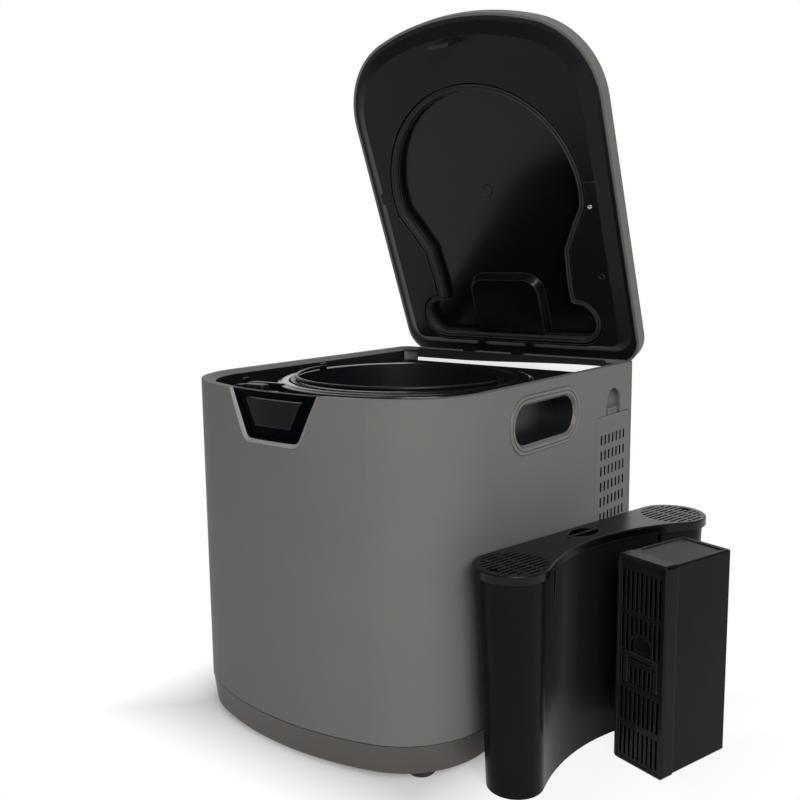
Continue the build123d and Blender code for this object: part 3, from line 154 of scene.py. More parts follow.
def edge_group():
    """Rounded edges, lighter from rubbing and as painted highlights: the angle between the true
    normal and one rounded over Radius.
    """
    tree, entry, leave = new_group(
        "rounded_edges",
        [("Radius", "NodeSocketFloat", 0.0006), ("Wear", "NodeSocketFloat", 0.5)],
        [("Edge", "NodeSocketFloat"), ("Normal", "NodeSocketVector")])
    geometry = node(tree, "ShaderNodeNewGeometry")
    round_over = tree.nodes.new("ShaderNodeBevel")
    round_over.samples = 6
    tree.links.new(entry.outputs["Radius"], round_over.inputs["Radius"])
    dot = tree.nodes.new("ShaderNodeVectorMath")
    dot.operation = "DOT_PRODUCT"
    tree.links.new(geometry.outputs["True Normal"], dot.inputs[0])
    tree.links.new(round_over.outputs["Normal"], dot.inputs[1])
    away = math_node(tree, "SUBTRACT", 1.0, dot.outputs["Value"], clamp=True)
    sharp = spread(tree, away, 0.02, 0.30, 0.0, 1.0)
    where = node(tree, "ShaderNodeTexCoord")
    patchy = node(tree, "ShaderNodeTexNoise", Scale=90.0, Detail=3.0, Roughness=0.6)
    tree.links.new(where.outputs["Object"], patchy.inputs["Vector"])
    edge_wear_and_highlight = spread(tree, patchy.outputs["Fac"], 0.35, 0.65, 0.25, 1.0)
    edge_wear_and_highlight = math_node(tree, "MULTIPLY", edge_wear_and_highlight, sharp)
    edge_wear_and_highlight = math_node(tree, "MULTIPLY", edge_wear_and_highlight, entry.outputs["Wear"], clamp=True)
    tree.links.new(edge_wear_and_highlight, leave.inputs["Edge"])
    tree.links.new(round_over.outputs["Normal"], leave.inputs["Normal"])
    return tree


def grain_group():
    """Fine moulded or sprayed grain: two noise sizes as a height and a slow patchiness."""
    tree, entry, leave = new_group(
        "surface_grain",
        [("Size", "NodeSocketFloat", 900.0), ("Patch", "NodeSocketFloat", 12.0)],
        [("Height", "NodeSocketFloat"), ("Patchiness", "NodeSocketFloat")])
    where = node(tree, "ShaderNodeTexCoord")
    fine = node(tree, "ShaderNodeTexNoise", Detail=2.0, Roughness=0.55)
    coarse = node(tree, "ShaderNodeTexNoise", Detail=4.0, Roughness=0.6)
    for texture, label in ((fine, "Size"), (coarse, "Patch")):
        tree.links.new(where.outputs["Object"], texture.inputs["Vector"])
        tree.links.new(entry.outputs[label], texture.inputs["Scale"])
    tree.links.new(fine.outputs["Fac"], leave.inputs["Height"])
    tree.links.new(coarse.outputs["Fac"], leave.inputs["Patchiness"])
    return tree


def scratch_group():
    """Hairline scratches: thin bands of two stretched, turned noises where they cross a level."""
    tree, entry, leave = new_group(
        "hairlines",
        [("Scale", "NodeSocketFloat", 30.0), ("Amount", "NodeSocketFloat", 0.3)],
        [("Scratch", "NodeSocketFloat")])
    where = node(tree, "ShaderNodeTexCoord")
    total = None
    for turn, stretch in ((0.5, (1.0, 14.0, 2.0)), (2.1, (12.0, 1.0, 2.5))):
        place = node(tree, "ShaderNodeMapping")
        place.inputs["Rotation"].default_value = (0.3 * turn, 0.2, turn)
        place.inputs["Scale"].default_value = stretch
        tree.links.new(where.outputs["Object"], place.inputs["Vector"])
        lines = node(tree, "ShaderNodeTexNoise", Detail=2.0, Roughness=0.4)
        tree.links.new(place.outputs["Vector"], lines.inputs["Vector"])
        tree.links.new(entry.outputs["Scale"], lines.inputs["Scale"])
        off = math_node(tree, "SUBTRACT", lines.outputs["Fac"], 0.5)
        band = spread(tree, math_node(tree, "ABSOLUTE", off), 0.0, 0.006, 1.0, 0.0)
        total = band if total is None else math_node(tree, "MAXIMUM", total, band)
    faint = math_node(tree, "MULTIPLY", total, entry.outputs["Amount"], clamp=True)
    tree.links.new(faint, leave.inputs["Scratch"])
    return tree


def dust_group():
    """Settled dust: upward-facing places, broken up by noise."""
    tree, entry, leave = new_group(
        "settled_dust", [("Amount", "NodeSocketFloat", 0.1)], [("Dust", "NodeSocketFloat")])
    geometry = node(tree, "ShaderNodeNewGeometry")
    parts = node(tree, "ShaderNodeSeparateXYZ")
    tree.links.new(geometry.outputs["Normal"], parts.inputs["Vector"])
    where = node(tree, "ShaderNodeTexCoord")
    clouds = node(tree, "ShaderNodeTexNoise", Scale=35.0, Detail=6.0, Roughness=0.7)
    tree.links.new(where.outputs["Object"], clouds.inputs["Vector"])
    up = spread(tree, parts.outputs["Z"], 0.5, 1.0, 0.0, 1.0)
    soft = spread(tree, clouds.outputs["Fac"], 0.4, 0.75, 0.0, 1.0)
    film = math_node(tree, "MULTIPLY", up, soft)
    film = math_node(tree, "MULTIPLY", film, entry.outputs["Amount"], clamp=True)
    tree.links.new(film, leave.inputs["Dust"])
    return tree


GROUPS = {"edges": edge_group(), "grain": grain_group(), "hairlines": scratch_group(),
          "dust": dust_group()}


def use_group(tree, name, **values):
    """Places one of the shared effects in a material with its own values."""
    made = tree.nodes.new("ShaderNodeGroup")
    made.node_tree = GROUPS[name]
    for key, value in values.items():
        made.inputs[key].default_value = value
    return made


def start_material(name):
    """A material with an empty Principled shader; returns the material, its tree and shader."""
    made = bpy.data.materials.new(name)
    made.use_nodes = True
    tree = made.node_tree
    tree.nodes.clear()
    out = tree.nodes.new("ShaderNodeOutputMaterial")
    shader = tree.nodes.new("ShaderNodeBsdfPrincipled")
    tree.links.new(shader.outputs["BSDF"], out.inputs["Surface"])
    return made, tree, shader


def principled(made):
    """A finished material's tree and its Principled shader."""
    tree = made.node_tree
    return tree, next(n for n in tree.nodes if n.type == "BSDF_PRINCIPLED")


def finish(name, colour, lighter, rough, rough_span, grain=900.0, grain_depth=0.00002,
           patch=12.0, radius=0.0005, wear_and_highlight=0.35, wear_and_highlight_colour=None, metallic=0.0, coat=0.0,
           coat_rough=0.1, specular=0.5, dust=0.0, hairlines=0.0):
    """The usual finish: patchy colour, grained bump, rounded edges lighter from rubbing and as
    painted highlights, hairlines and dust.
    """
    made, tree, shader = start_material(name)
    grain_node = use_group(tree, "grain", Size=grain, Patch=patch)
    edge_node = use_group(tree, "edges", Radius=radius, Wear=wear_and_highlight)
    patchy = spread(tree, grain_node.outputs["Patchiness"], 0.3, 0.7, 0.0, 1.0)
    tone = mix_colour(tree, patchy, colour, lighter)
    edge_wear_and_highlight = wear_and_highlight_colour or tuple(min(c * 1.8 + 0.02, 1.0) for c in lighter)
    tone = mix_colour(tree, edge_node.outputs["Edge"], tone, edge_wear_and_highlight)
    low, high = rough - rough_span, rough + rough_span
    gloss = spread(tree, grain_node.outputs["Patchiness"], 0.25, 0.75, low, high)
    if hairlines:
        lines = use_group(tree, "hairlines", Scale=26.0, Amount=hairlines)
        gloss = math_node(tree, "ADD", gloss, lines.outputs["Scratch"], clamp=True)
    if dust:
        film = use_group(tree, "dust", Amount=dust)
        tone = mix_colour(tree, film.outputs["Dust"], tone, (0.45, 0.43, 0.40))
        more = math_node(tree, "MULTIPLY", film.outputs["Dust"], 0.5)
        gloss = math_node(tree, "ADD", gloss, more, clamp=True)
    tree.links.new(tone, shader.inputs["Base Color"])
    tree.links.new(gloss, shader.inputs["Roughness"])
    add_bump(tree, shader, grain_node.outputs["Height"], grain_depth, edge_node.outputs["Normal"])
    shader.inputs["Metallic"].default_value = metallic
    shader.inputs["Coat Weight"].default_value = coat
    shader.inputs["Coat Roughness"].default_value = coat_rough
    shader.inputs["Specular IOR Level"].default_value = specular
    return made


def painted(name):
    """The cabinet's warm grey paint: satin, with a trace of metal flake."""
    return finish(name, (0.153, 0.150, 0.142), (0.167, 0.163, 0.154), 0.52, 0.04, grain=1600.0,
                  grain_depth=0.000006, wear_and_highlight=0.45, metallic=0.04, specular=0.14, dust=0.02)


def filter_plastic(name, specular=0.05, tone=0.006):
    """The filters' smooth black polypropylene, whose light edge colour is a painted highlight."""
    return finish(name, (tone, tone, tone), (1.4 * tone, 1.4 * tone, 1.4 * tone), 0.25, 0.04,
                  grain=1200.0, grain_depth=0.000004, wear_and_highlight=0.9, specular=specular,
                  wear_and_highlight_colour=(0.13, 0.13, 0.13), radius=0.0008)


MATERIALS = {
    "body_paint": painted("body_paint"),
    # The cut-out's bevel: a grey lighter than the cabinet's paint, as a painted highlight.
    "bevel_grey_painted_highlight": finish("bevel_grey_painted_highlight", (0.34, 0.335, 0.325), (0.38, 0.375, 0.365), 0.34, 0.04,
                         grain=1600.0, grain_depth=0.000004, wear_and_highlight=0.6, metallic=0.2,
                         specular=0.4),
    "skirt": finish("skirt", (0.080, 0.070, 0.062), (0.092, 0.081, 0.073), 0.48, 0.05,
                    grain=1100.0, grain_depth=0.00001, wear_and_highlight=0.30, metallic=0.2),
    # Gloss black: its light edge colour is a painted highlight along the edges.
    "gloss_black": finish("gloss_black", (0.0025, 0.003, 0.0045), (0.004, 0.0045, 0.006), 0.16,
                          0.03, grain=500.0, grain_depth=0.000002, wear_and_highlight=1.0, specular=0.22,
                          wear_and_highlight_colour=(0.085, 0.087, 0.095), radius=0.0012, hairlines=0.10,
                          dust=0.006),
    "satin_black": finish("satin_black", (0.006, 0.006, 0.008), (0.010, 0.010, 0.012), 0.36,
                          0.05, grain=1300.0, grain_depth=0.000012, wear_and_highlight=0.5, specular=0.28,
                          wear_and_highlight_colour=(0.06, 0.06, 0.065), dust=0.01),
    # Lining black: its light edge colour is a painted highlight along the keyhole and hump edges.
    "liner_black": finish("liner_black", (0.0066, 0.0067, 0.0082), (0.0082, 0.0083, 0.010), 0.30,
                          0.05, grain=1400.0, grain_depth=0.000008, wear_and_highlight=0.9, specular=0.13,
                          wear_and_highlight_colour=(0.13, 0.13, 0.135), radius=0.0011),
    "filter_black": filter_plastic("filter_black"),
    "handle_black": filter_plastic("handle_black", 0.12, 0.012),
    "panel_black": finish("panel_black", (0.0008, 0.0010, 0.0020), (0.0014, 0.0016, 0.0028), 0.30,
                          0.03, grain=500.0, grain_depth=0.000002, wear_and_highlight=0.8, specular=0.01,
                          wear_and_highlight_colour=(0.03, 0.03, 0.033), radius=0.0006),
    # Button black: its light edge colour is a painted highlight along the button's rim.
    "button_black": finish("button_black", (0.0055, 0.006, 0.008), (0.0075, 0.008, 0.010), 0.34,
                           0.04, grain=1500.0, grain_depth=0.000006, wear_and_highlight=1.0, specular=0.08,
                           wear_and_highlight_colour=(0.09, 0.09, 0.095), radius=0.0012),
    "collar_black": finish("collar_black", (0.003, 0.0035, 0.005), (0.005, 0.0055, 0.007), 0.18,
                           0.04, grain=700.0, grain_depth=0.000002, wear_and_highlight=0.5, specular=0.3,
                           coat=0.5, coat_rough=0.15,
                           wear_and_highlight_colour=(0.10, 0.10, 0.11), radius=0.0007),
    "bay_white": finish("bay_white", (0.86, 0.87, 0.87), (0.90, 0.90, 0.90), 0.35, 0.05,
                        grain=1000.0, grain_depth=0.00001, wear_and_highlight=0.2,
                        wear_and_highlight_colour=(0.9, 0.9, 0.9)),
    "strip_grey": finish("strip_grey", (0.012, 0.013, 0.015), (0.017, 0.018, 0.020), 0.38, 0.05,
                         grain=1300.0, grain_depth=0.00001, wear_and_highlight=0.5, specular=0.3),
    "rubber": finish("rubber", (0.012, 0.012, 0.012), (0.020, 0.020, 0.020), 0.75, 0.08,
                     grain=700.0, grain_depth=0.00003, wear_and_highlight=0.2, dust=0.05),
    "nylon_white": finish("nylon_white", (0.62, 0.60, 0.54), (0.70, 0.68, 0.62), 0.5, 0.06,
                          grain=900.0, grain_depth=0.00002, wear_and_highlight=0.2),
    "case_plastic": finish("case_plastic", (0.48, 0.48, 0.46), (0.55, 0.55, 0.53), 0.55, 0.05,
                           grain=800.0, grain_depth=0.00003, wear_and_highlight=0.2),
    "fan_black": finish("fan_black", (0.015, 0.015, 0.016), (0.022, 0.022, 0.023), 0.5, 0.06,
                        grain=900.0, grain_depth=0.00002, wear_and_highlight=0.3),
    "steel": finish("steel", (0.52, 0.52, 0.53), (0.60, 0.60, 0.61), 0.25, 0.06, grain=1500.0,
                    grain_depth=0.000008, wear_and_highlight=0.3, metallic=1.0, hairlines=0.15),
    "zinc_can": finish("zinc_can", (0.45, 0.45, 0.44), (0.58, 0.58, 0.57), 0.38, 0.08,
                       grain=400.0, grain_depth=0.00001, patch=60.0, metallic=1.0, wear_and_highlight=0.2),
    "well_sheet": finish("well_sheet", (0.55, 0.55, 0.56), (0.66, 0.66, 0.67), 0.33, 0.06,
                         grain=1200.0, grain_depth=0.00001, metallic=1.0, hairlines=0.2,
                         wear_and_highlight=0.2),
    "board": finish("board", (0.012, 0.085, 0.040), (0.020, 0.120, 0.055), 0.35, 0.05,
                    grain=600.0, grain_depth=0.00001, patch=120.0, wear_and_highlight=0.2),
    "coating": finish("coating", (0.0035, 0.0045, 0.0065), (0.006, 0.007, 0.009), 0.30, 0.05,
                      grain=2200.0, grain_depth=0.00001, wear_and_highlight=0.4, specular=0.3,
                      wear_and_highlight_colour=(0.09, 0.09, 0.095), hairlines=0.10),
}


def ringed_plate():
    """Turned aluminium: fine circles about the bucket's axis from a wave in the radius."""
    made, tree, shader = start_material("turned_plate")
    where = node(tree, "ShaderNodeTexCoord")
    place = node(tree, "ShaderNodeMapping")
    centre = (np.array([0.0, BUCKET_Y, 0.0]) + OFFSET) / 1000.0
    place.inputs["Location"].default_value = tuple(-centre)
    tree.links.new(where.outputs["Object"], place.inputs["Vector"])
    rings = node(tree, "ShaderNodeTexWave", Scale=180.0, Distortion=0.4, Detail=1.0)
    rings.wave_type = "RINGS"
    rings.rings_direction = "Z"
    tree.links.new(place.outputs["Vector"], rings.inputs["Vector"])
    edge_node = use_group(tree, "edges", Radius=0.0005, Wear=0.3)
    tone = mix_colour(tree, rings.outputs["Fac"], (0.50, 0.50, 0.51), (0.64, 0.64, 0.65))
    tone = mix_colour(tree, edge_node.outputs["Edge"], tone, (0.8, 0.8, 0.8))
    tree.links.new(tone, shader.inputs["Base Color"])
    gloss = spread(tree, rings.outputs["Fac"], 0.0, 1.0, 0.28, 0.42)
    tree.links.new(gloss, shader.inputs["Roughness"])
    add_bump(tree, shader, rings.outputs["Fac"], 0.00002, edge_node.outputs["Normal"])
    shader.inputs["Metallic"].default_value = 1.0
    return made


def open_foam():
    """Reticulated foam: cell walls where two Voronoi distances are near, and between them pores
    painted near-black as painted shade.
    """
    made, tree, shader = start_material("open_foam")
    where = node(tree, "ShaderNodeTexCoord")
    cells = node(tree, "ShaderNodeTexVoronoi", Scale=650.0)
    cells.feature = "DISTANCE_TO_EDGE"
    tree.links.new(where.outputs["Object"], cells.inputs["Vector"])
    wall = spread(tree, cells.outputs["Distance"], 0.0, 0.12, 1.0, 0.0)
    tone = mix_colour(tree, wall, (0.004, 0.004, 0.004), (0.045, 0.045, 0.045))
    tree.links.new(tone, shader.inputs["Base Color"])
    gloss = spread(tree, wall, 0.0, 1.0, 0.95, 0.75)
    tree.links.new(gloss, shader.inputs["Roughness"])
    add_bump(tree, shader, wall, 0.0006)
    return made


def pressed_fleece():
    """Non-woven pouch cloth: crossed noise fibres over a dark carbon fill."""
    made, tree, shader = start_material("pressed_fleece")
    where = node(tree, "ShaderNodeTexCoord")
    fibres = None
    for stretch in ((1.0, 9.0, 3.0), (8.0, 1.0, 2.0), (2.0, 3.0, 9.0)):
        place = node(tree, "ShaderNodeMapping")
        place.inputs["Scale"].default_value = stretch
        tree.links.new(where.outputs["Object"], place.inputs["Vector"])
        strand = node(tree, "ShaderNodeTexNoise", Scale=220.0, Detail=3.0, Distortion=0.6)
        tree.links.new(place.outputs["Vector"], strand.inputs["Vector"])
        line = spread(tree, strand.outputs["Fac"], 0.52, 0.60, 0.0, 1.0)
        fibres = line if fibres is None else math_node(tree, "MAXIMUM", fibres, line)
    tone = mix_colour(tree, fibres, (0.003, 0.003, 0.003), (0.012, 0.012, 0.012))
    tree.links.new(tone, shader.inputs["Base Color"])
    gloss = spread(tree, fibres, 0.0, 1.0, 0.95, 0.8)
    tree.links.new(gloss, shader.inputs["Roughness"])
    add_bump(tree, shader, fibres, 0.0003)
    return made


def grip_finish():
    """A black cup whose flange has the body's grey: split where Object X reaches the wall.

    The grey starts 2.0 mm inside the cabinet's side and is full from 1.7 mm outwards.
    """
    made = finish("grip_cup", (0.009, 0.010, 0.012), (0.012, 0.013, 0.015), 0.36, 0.05,
                  grain=1300.0, grain_depth=0.000010, wear_and_highlight=0.25, specular=0.3)
    tree, shader = principled(made)
    from_middle = math_node(tree, "ADD", object_axes(tree)["X"], -float(OFFSET[0]) / 1000.0)
    reach = math_node(tree, "ABSOLUTE", from_middle)
    flange = spread(tree, reach, (HALF - 2.0) / 1000.0, (HALF - 1.7) / 1000.0, 0.0, 1.0)
    tone = shader.inputs["Base Color"].links[0].from_socket
    grey = mix_colour(tree, flange, tone, (0.155, 0.151, 0.143))
    tree.links.new(grey, shader.inputs["Base Color"])
    tree.links.new(math_node(tree, "MULTIPLY", flange, 0.35), shader.inputs["Metallic"])
    return made


def bay_finish():
    """A pale tub whose mouth is black down to a line 18.5 mm under the deck, split by Object Z."""
    made = finish("bay_tub", (0.86, 0.87, 0.87), (0.90, 0.90, 0.90), 0.38, 0.05, grain=1000.0,
                  grain_depth=0.00001, wear_and_highlight=0.2, wear_and_highlight_colour=(0.9, 0.9, 0.9), specular=0.3)
    tree, shader = principled(made)
    line = DECK_Z - 18.5
    mouth = spread(tree, object_axes(tree)["Z"], line / 1000.0, (line + 0.5) / 1000.0, 0.0, 1.0)
    tone = shader.inputs["Base Color"].links[0].from_socket
    tree.links.new(mix_colour(tree, mouth, tone, (0.006, 0.0065, 0.008)),
                   shader.inputs["Base Color"])
    return made


def plate_axis(name):
    """The direction in which a plate-like node's points spread least: across the plate."""
    mesh = nodes[name].data
    points = np.empty(len(mesh.vertices) * 3)
    mesh.vertices.foreach_get("co", points)
    return np.linalg.eigh(np.cov(points.reshape(-1, 3).T))[1][:, 0]


def with_painted_slot_shade(made, axis, dark=(0.0015, 0.0015, 0.002)):
    """Paints shade on the faces that stand square to a plate's face: the walls of its slots."""
    tree, shader = principled(made)
    geometry = node(tree, "ShaderNodeNewGeometry")
    own = node(tree, "ShaderNodeVectorTransform", vector_type="NORMAL", convert_from="WORLD",
               convert_to="OBJECT")
    tree.links.new(geometry.outputs["True Normal"], own.inputs["Vector"])
    dot = tree.nodes.new("ShaderNodeVectorMath")
    dot.operation = "DOT_PRODUCT"
    dot.inputs[1].default_value = tuple(float(part) for part in axis)
    tree.links.new(own.outputs["Vector"], dot.inputs[0])
    flat = spread(tree, math_node(tree, "ABSOLUTE", dot.outputs["Value"]), 0.45, 0.75, 0.0, 1.0)
    tone = shader.inputs["Base Color"].links[0].from_socket
    tree.links.new(mix_colour(tree, flat, dark, tone), shader.inputs["Base Color"])
    return made


# Painted shade: the walls of the door's slats and of both filters' slots are darkened.
MATERIALS["door_slats"] = with_painted_slot_shade(painted("door_slats"), plate_axis("side_door"))
MATERIALS["saddle_slots"] = with_painted_slot_shade(filter_plastic("saddle_slots", 0.22), (0.0, 0.0, 1.0))
MATERIALS["box_slots"] = with_painted_slot_shade(filter_plastic("box_slots", 0.09, 0.010),
                                    plate_axis("box_front"))
# Painted light: the pale lip glows a little though it is no lamp, so that it looks brighter than
# its lighting makes it.
glowing_lip_shader = principled(MATERIALS["bay_white"])[1]
glowing_lip_shader.inputs["Emission Color"].default_value = (0.95, 0.96, 0.96, 1.0)
glowing_lip_shader.inputs["Emission Strength"].default_value = 0.42
MATERIALS["bay_tub"] = bay_finish()
MATERIALS["grip_cup"] = grip_finish()
MATERIALS["turned_plate"] = ringed_plate()
MATERIALS["open_foam"] = open_foam()
MATERIALS["pressed_fleece"] = pressed_fleece()

NODE_FINISH = {
    "outer_shell": "body_paint", "side_door": "door_slats", "door_latch": "body_paint",
    "door_frame": "body_paint", "lid_shell": "body_paint", "base_tray": "skirt",
    "rubber_feet": "rubber", "top_deck": "collar_black", "front_panel": "panel_black",
    "button_cap": "button_black", "lid_panel": "gloss_black", "filter_bay": "bay_tub",
    "bucket_well": "well_sheet", "heater_plate": "turned_plate",
    "grip_cup_right": "grip_cup", "grip_cup_left": "grip_cup",
    "box_socket": "satin_black", "power_inlet": "satin_black", "lid_liner": "liner_black",
    "lid_plug": "gloss_black", "latch_slider": "nylon_white", "latch_guide": "satin_black",
    "striker": "satin_black", "hinge_bracket": "strip_grey", "hinge_pins": "steel",
    "drive_coupler": "steel", "motor_pinion": "steel", "bucket_bail": "coating",
    "motor": "zinc_can", "gear_case": "case_plastic", "gear_cover": "case_plastic",
    "idler_gears": "nylon_white", "output_gear": "nylon_white", "fan_housing": "fan_black",
    "fan_impeller": "fan_black", "control_board": "board", "bucket": "coating",
    "stirrer": "coating", "saddle_canister": "filter_black", "saddle_top": "saddle_slots",
    "box_case": "filter_black", "box_front": "box_slots", "box_handle": "handle_black",
    "dust_pad": "open_foam", "saddle_pouch": "pressed_fleece", "lid_seal": "rubber",
}

for name, kind in NODE_FINISH.items():
    if name in nodes:
        mesh = nodes[name].data
        mesh.materials.clear()
        mesh.materials.append(MATERIALS[kind])


# New pieces


def metres(points):
    """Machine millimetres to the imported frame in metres."""
    return (np.asarray(points, float) + OFFSET) / 1000.0


def opened(points):
    """The shut lid's millimetres turned about the hinge line to where the lid stands open."""
    a = radians(-LID_OPEN)
    moved = np.array(points, float)
    y, z = moved[..., 1] - HINGE_Y, moved[..., 2] - HINGE_Z
    moved[..., 1] = HINGE_Y + y * cos(a) - z * sin(a)
    moved[..., 2] = HINGE_Z + y * sin(a) + z * cos(a)
    return moved


def surface(name, points, kind, body, wrap=(False, False), sharp=35.0):
    """A grid of points (rows, columns, xyz in millimetres) as one mesh that rides on a body.

    wrap joins the last row or column to the first, and rows that meet in a point are merged.
    """
    rows, cols = points.shape[:2]
    index = np.arange(rows * cols).reshape(rows, cols)
    if wrap[0]:
        index = np.vstack([index, index[:1]])
    if wrap[1]:
        index = np.hstack([index, index[:, :1]])
    quads = np.stack([index[:-1, :-1], index[1:, :-1], index[1:, 1:], index[:-1, 1:]], axis=-1)
    mesh = bpy.data.meshes.new(name)
    mesh.from_pydata(metres(points.reshape(-1, 3)).tolist(), [], quads.reshape(-1, 4).tolist())
    return tidy_piece(name, mesh, kind, body, sharp)


def tidy_piece(name, mesh, kind, body, sharp):
    """Merges doubles, turns faces outwards, rounds gentle bends and sets the piece's ride."""
    work = bmesh.new()
    work.from_mesh(mesh)
    bmesh.ops.remove_doubles(work, verts=work.verts, dist=2e-6)
    bmesh.ops.recalc_face_normals(work, faces=work.faces)
    work.to_mesh(mesh)
    work.free()
    mesh.polygons.foreach_set("use_smooth", [True] * len(mesh.polygons))
    mesh.set_sharp_from_angle(angle=radians(sharp))
    mesh.materials.clear()
    mesh.materials.append(MATERIALS[kind])
    piece = bpy.data.objects.new(name, mesh)
    bpy.context.scene.collection.objects.link(piece)
    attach(piece, body)
    return piece


def turned(profile, centre, axis, steps=40):
    """A profile of (radius, height) pairs spun about an axis through a centre."""
    axis = np.array(axis, float) / np.linalg.norm(axis)
    side = np.cross(axis, (0.31, 0.87, 0.23))
    side /= np.linalg.norm(side)
    other = np.cross(axis, side)
    t = np.linspace(0.0, 2.0 * pi, steps, endpoint=False)
    ring = np.cos(t)[:, None] * side + np.sin(t)[:, None] * other
    radius, height = np.array(profile, float).T
    return (np.array(centre, float) + radius[:, None, None] * ring[None]
            + height[:, None, None] * axis)


def swept(path, profile, closed=True):
    """A profile of (outward, up) pairs carried along a flat path and kept square to it."""
    path = np.asarray(path, float)
    if closed:
        ahead = np.roll(path, -1, 0) - np.roll(path, 1, 0)
    else:
        ahead = np.gradient(path, axis=0)
    ahead /= np.linalg.norm(ahead, axis=1)[:, None]
    out = np.cross(ahead, (0.0, 0.0, 1.0))
    profile = np.asarray(profile, float)
    lift = profile[None, :, 1:2] * np.array([0.0, 0.0, 1.0])
    return path[:, None] + profile[None, :, 0:1] * out[:, None] + lift


def even(path, count):
    """A closed path taken again at even steps of its length."""
    loop = np.vstack([path, path[:1]])
    along = np.concatenate([[0.0], np.cumsum(np.linalg.norm(np.diff(loop, axis=0), axis=1))])
    want = np.linspace(0.0, along[-1], count, endpoint=False)
    return np.stack([np.interp(want, along, loop[:, k]) for k in range(loop.shape[1])], axis=1)


def arc(cx, cy, r, start, end, count=40):
    """Points on a circle from one angle to another, in degrees."""
    t = np.radians(np.linspace(start, end, count))
    return np.stack([cx + r * np.cos(t), cy + r * np.sin(t)], axis=1)


def keyhole_path(grow, count=420):
    """The lid's keyhole grown outwards: a half circle, the waist and two round lobes.

    Each point of the outline moves out along its normal, points that land nearer than the
    growth to another stretch are dropped, and the rest is taken again at even steps.
    """
    right = np.array([[101.5, 8.0], [92.0, 24.0], [78.0, 50.0], [75.0, 86.0], [75.6, 110.2]])
    left = right[::-1] * (-1.0, 1.0)
    lobe = arc(LOBE_X, LOBE_Y, LOBE_R, -112.0, 90.0)
    outline = np.vstack([arc(0.0, BUCKET_Y, KEY_R, -180.0, 0.0, 120), right, lobe,
                         lobe[::-1] * (-1.0, 1.0), left])
    outline = even(outline, 1200)
    ahead = np.roll(outline, -1, 0) - np.roll(outline, 1, 0)
    ahead /= np.linalg.norm(ahead, axis=1)[:, None]
    moved = outline + grow * np.stack([ahead[:, 1], -ahead[:, 0]], axis=1)
    near = np.linalg.norm(moved[:, None] - outline[None], axis=2).min(axis=1)
    kept = even(moved[near > grow - 0.05], count)
    return (np.roll(kept, 1, 0) + kept + np.roll(kept, -1, 0)) / 3.0


def at_height(path, z):
    """A flat path of (x, y) pairs lifted to one height."""
    return np.column_stack([path, np.full(len(path), z)])


def seal_ring():
    """The lid's gasket: a two-lipped profile carried round the middle of the keyhole groove."""
    high, low = LINER_Z + 5.9, LINER_Z - 0.2
    profile = [(-2.4, high), (-2.4, low + 2.0), (-2.1, low + 0.5), (-1.5, low), (-0.9, low + 0.5),
               (-0.4, low + 1.6), (0.4, low + 1.6), (0.9, low + 0.5), (1.5, low),
               (2.1, low + 0.5), (2.4, low + 2.0), (2.4, high)]
    ring = swept(at_height(keyhole_path(KEY_GROOVE / 2), 0.0), profile)
    piece = surface("lid_gasket", opened(ring), "rubber", "lid",
                    wrap=(True, True), sharp=50.0)
    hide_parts("lid_seal")


def foam_pad():
    """The dust pad: a rounded rectangle whose half thickness falls to nothing at its edge.

    The outline is a superellipse in the angle t. The share s of the way out to it runs from
    the middle of the front over the edge to the middle of the back, and the half thickness
    is its greatest value times (1 - s^10)^(1/2), with a ripple of 0.1 cos(4 t) s (1 - s).
    """
    rows, cols, power = 49, 96, 14.0
    low, high = (np.array(corner) * 1000.0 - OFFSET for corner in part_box("dust_pad"))
    middle, half = (low + high) / 2.0, (high - low) / 2.0
    t = np.linspace(0.0, 2.0 * pi, cols, endpoint=False)
    y = np.sign(np.cos(t)) * np.abs(np.cos(t)) ** (2.0 / power)
    z = np.sign(np.sin(t)) * np.abs(np.sin(t)) ** (2.0 / power)
    over = np.linspace(0.0, pi, rows)
    s = np.sin(over)
    thick = np.sign(np.cos(over)) * np.sqrt(1.0 - s**10)
    ripple = 1.0 - 0.10 * np.cos(4.0 * t)[None] * (s * (1.0 - s))[:, None]
    points = np.empty((rows, cols, 3))
    points[..., 0] = middle[0] + half[0] * thick[:, None] * ripple
    points[..., 1] = middle[1] + half[1] * s[:, None] * y[None]
    points[..., 2] = middle[2] + half[2] * s[:, None] * z[None]
    piece = surface("foam_pad", points, "open_foam", "cabinet", sharp=60.0,
                    wrap=(False, True))
    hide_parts("dust_pad")


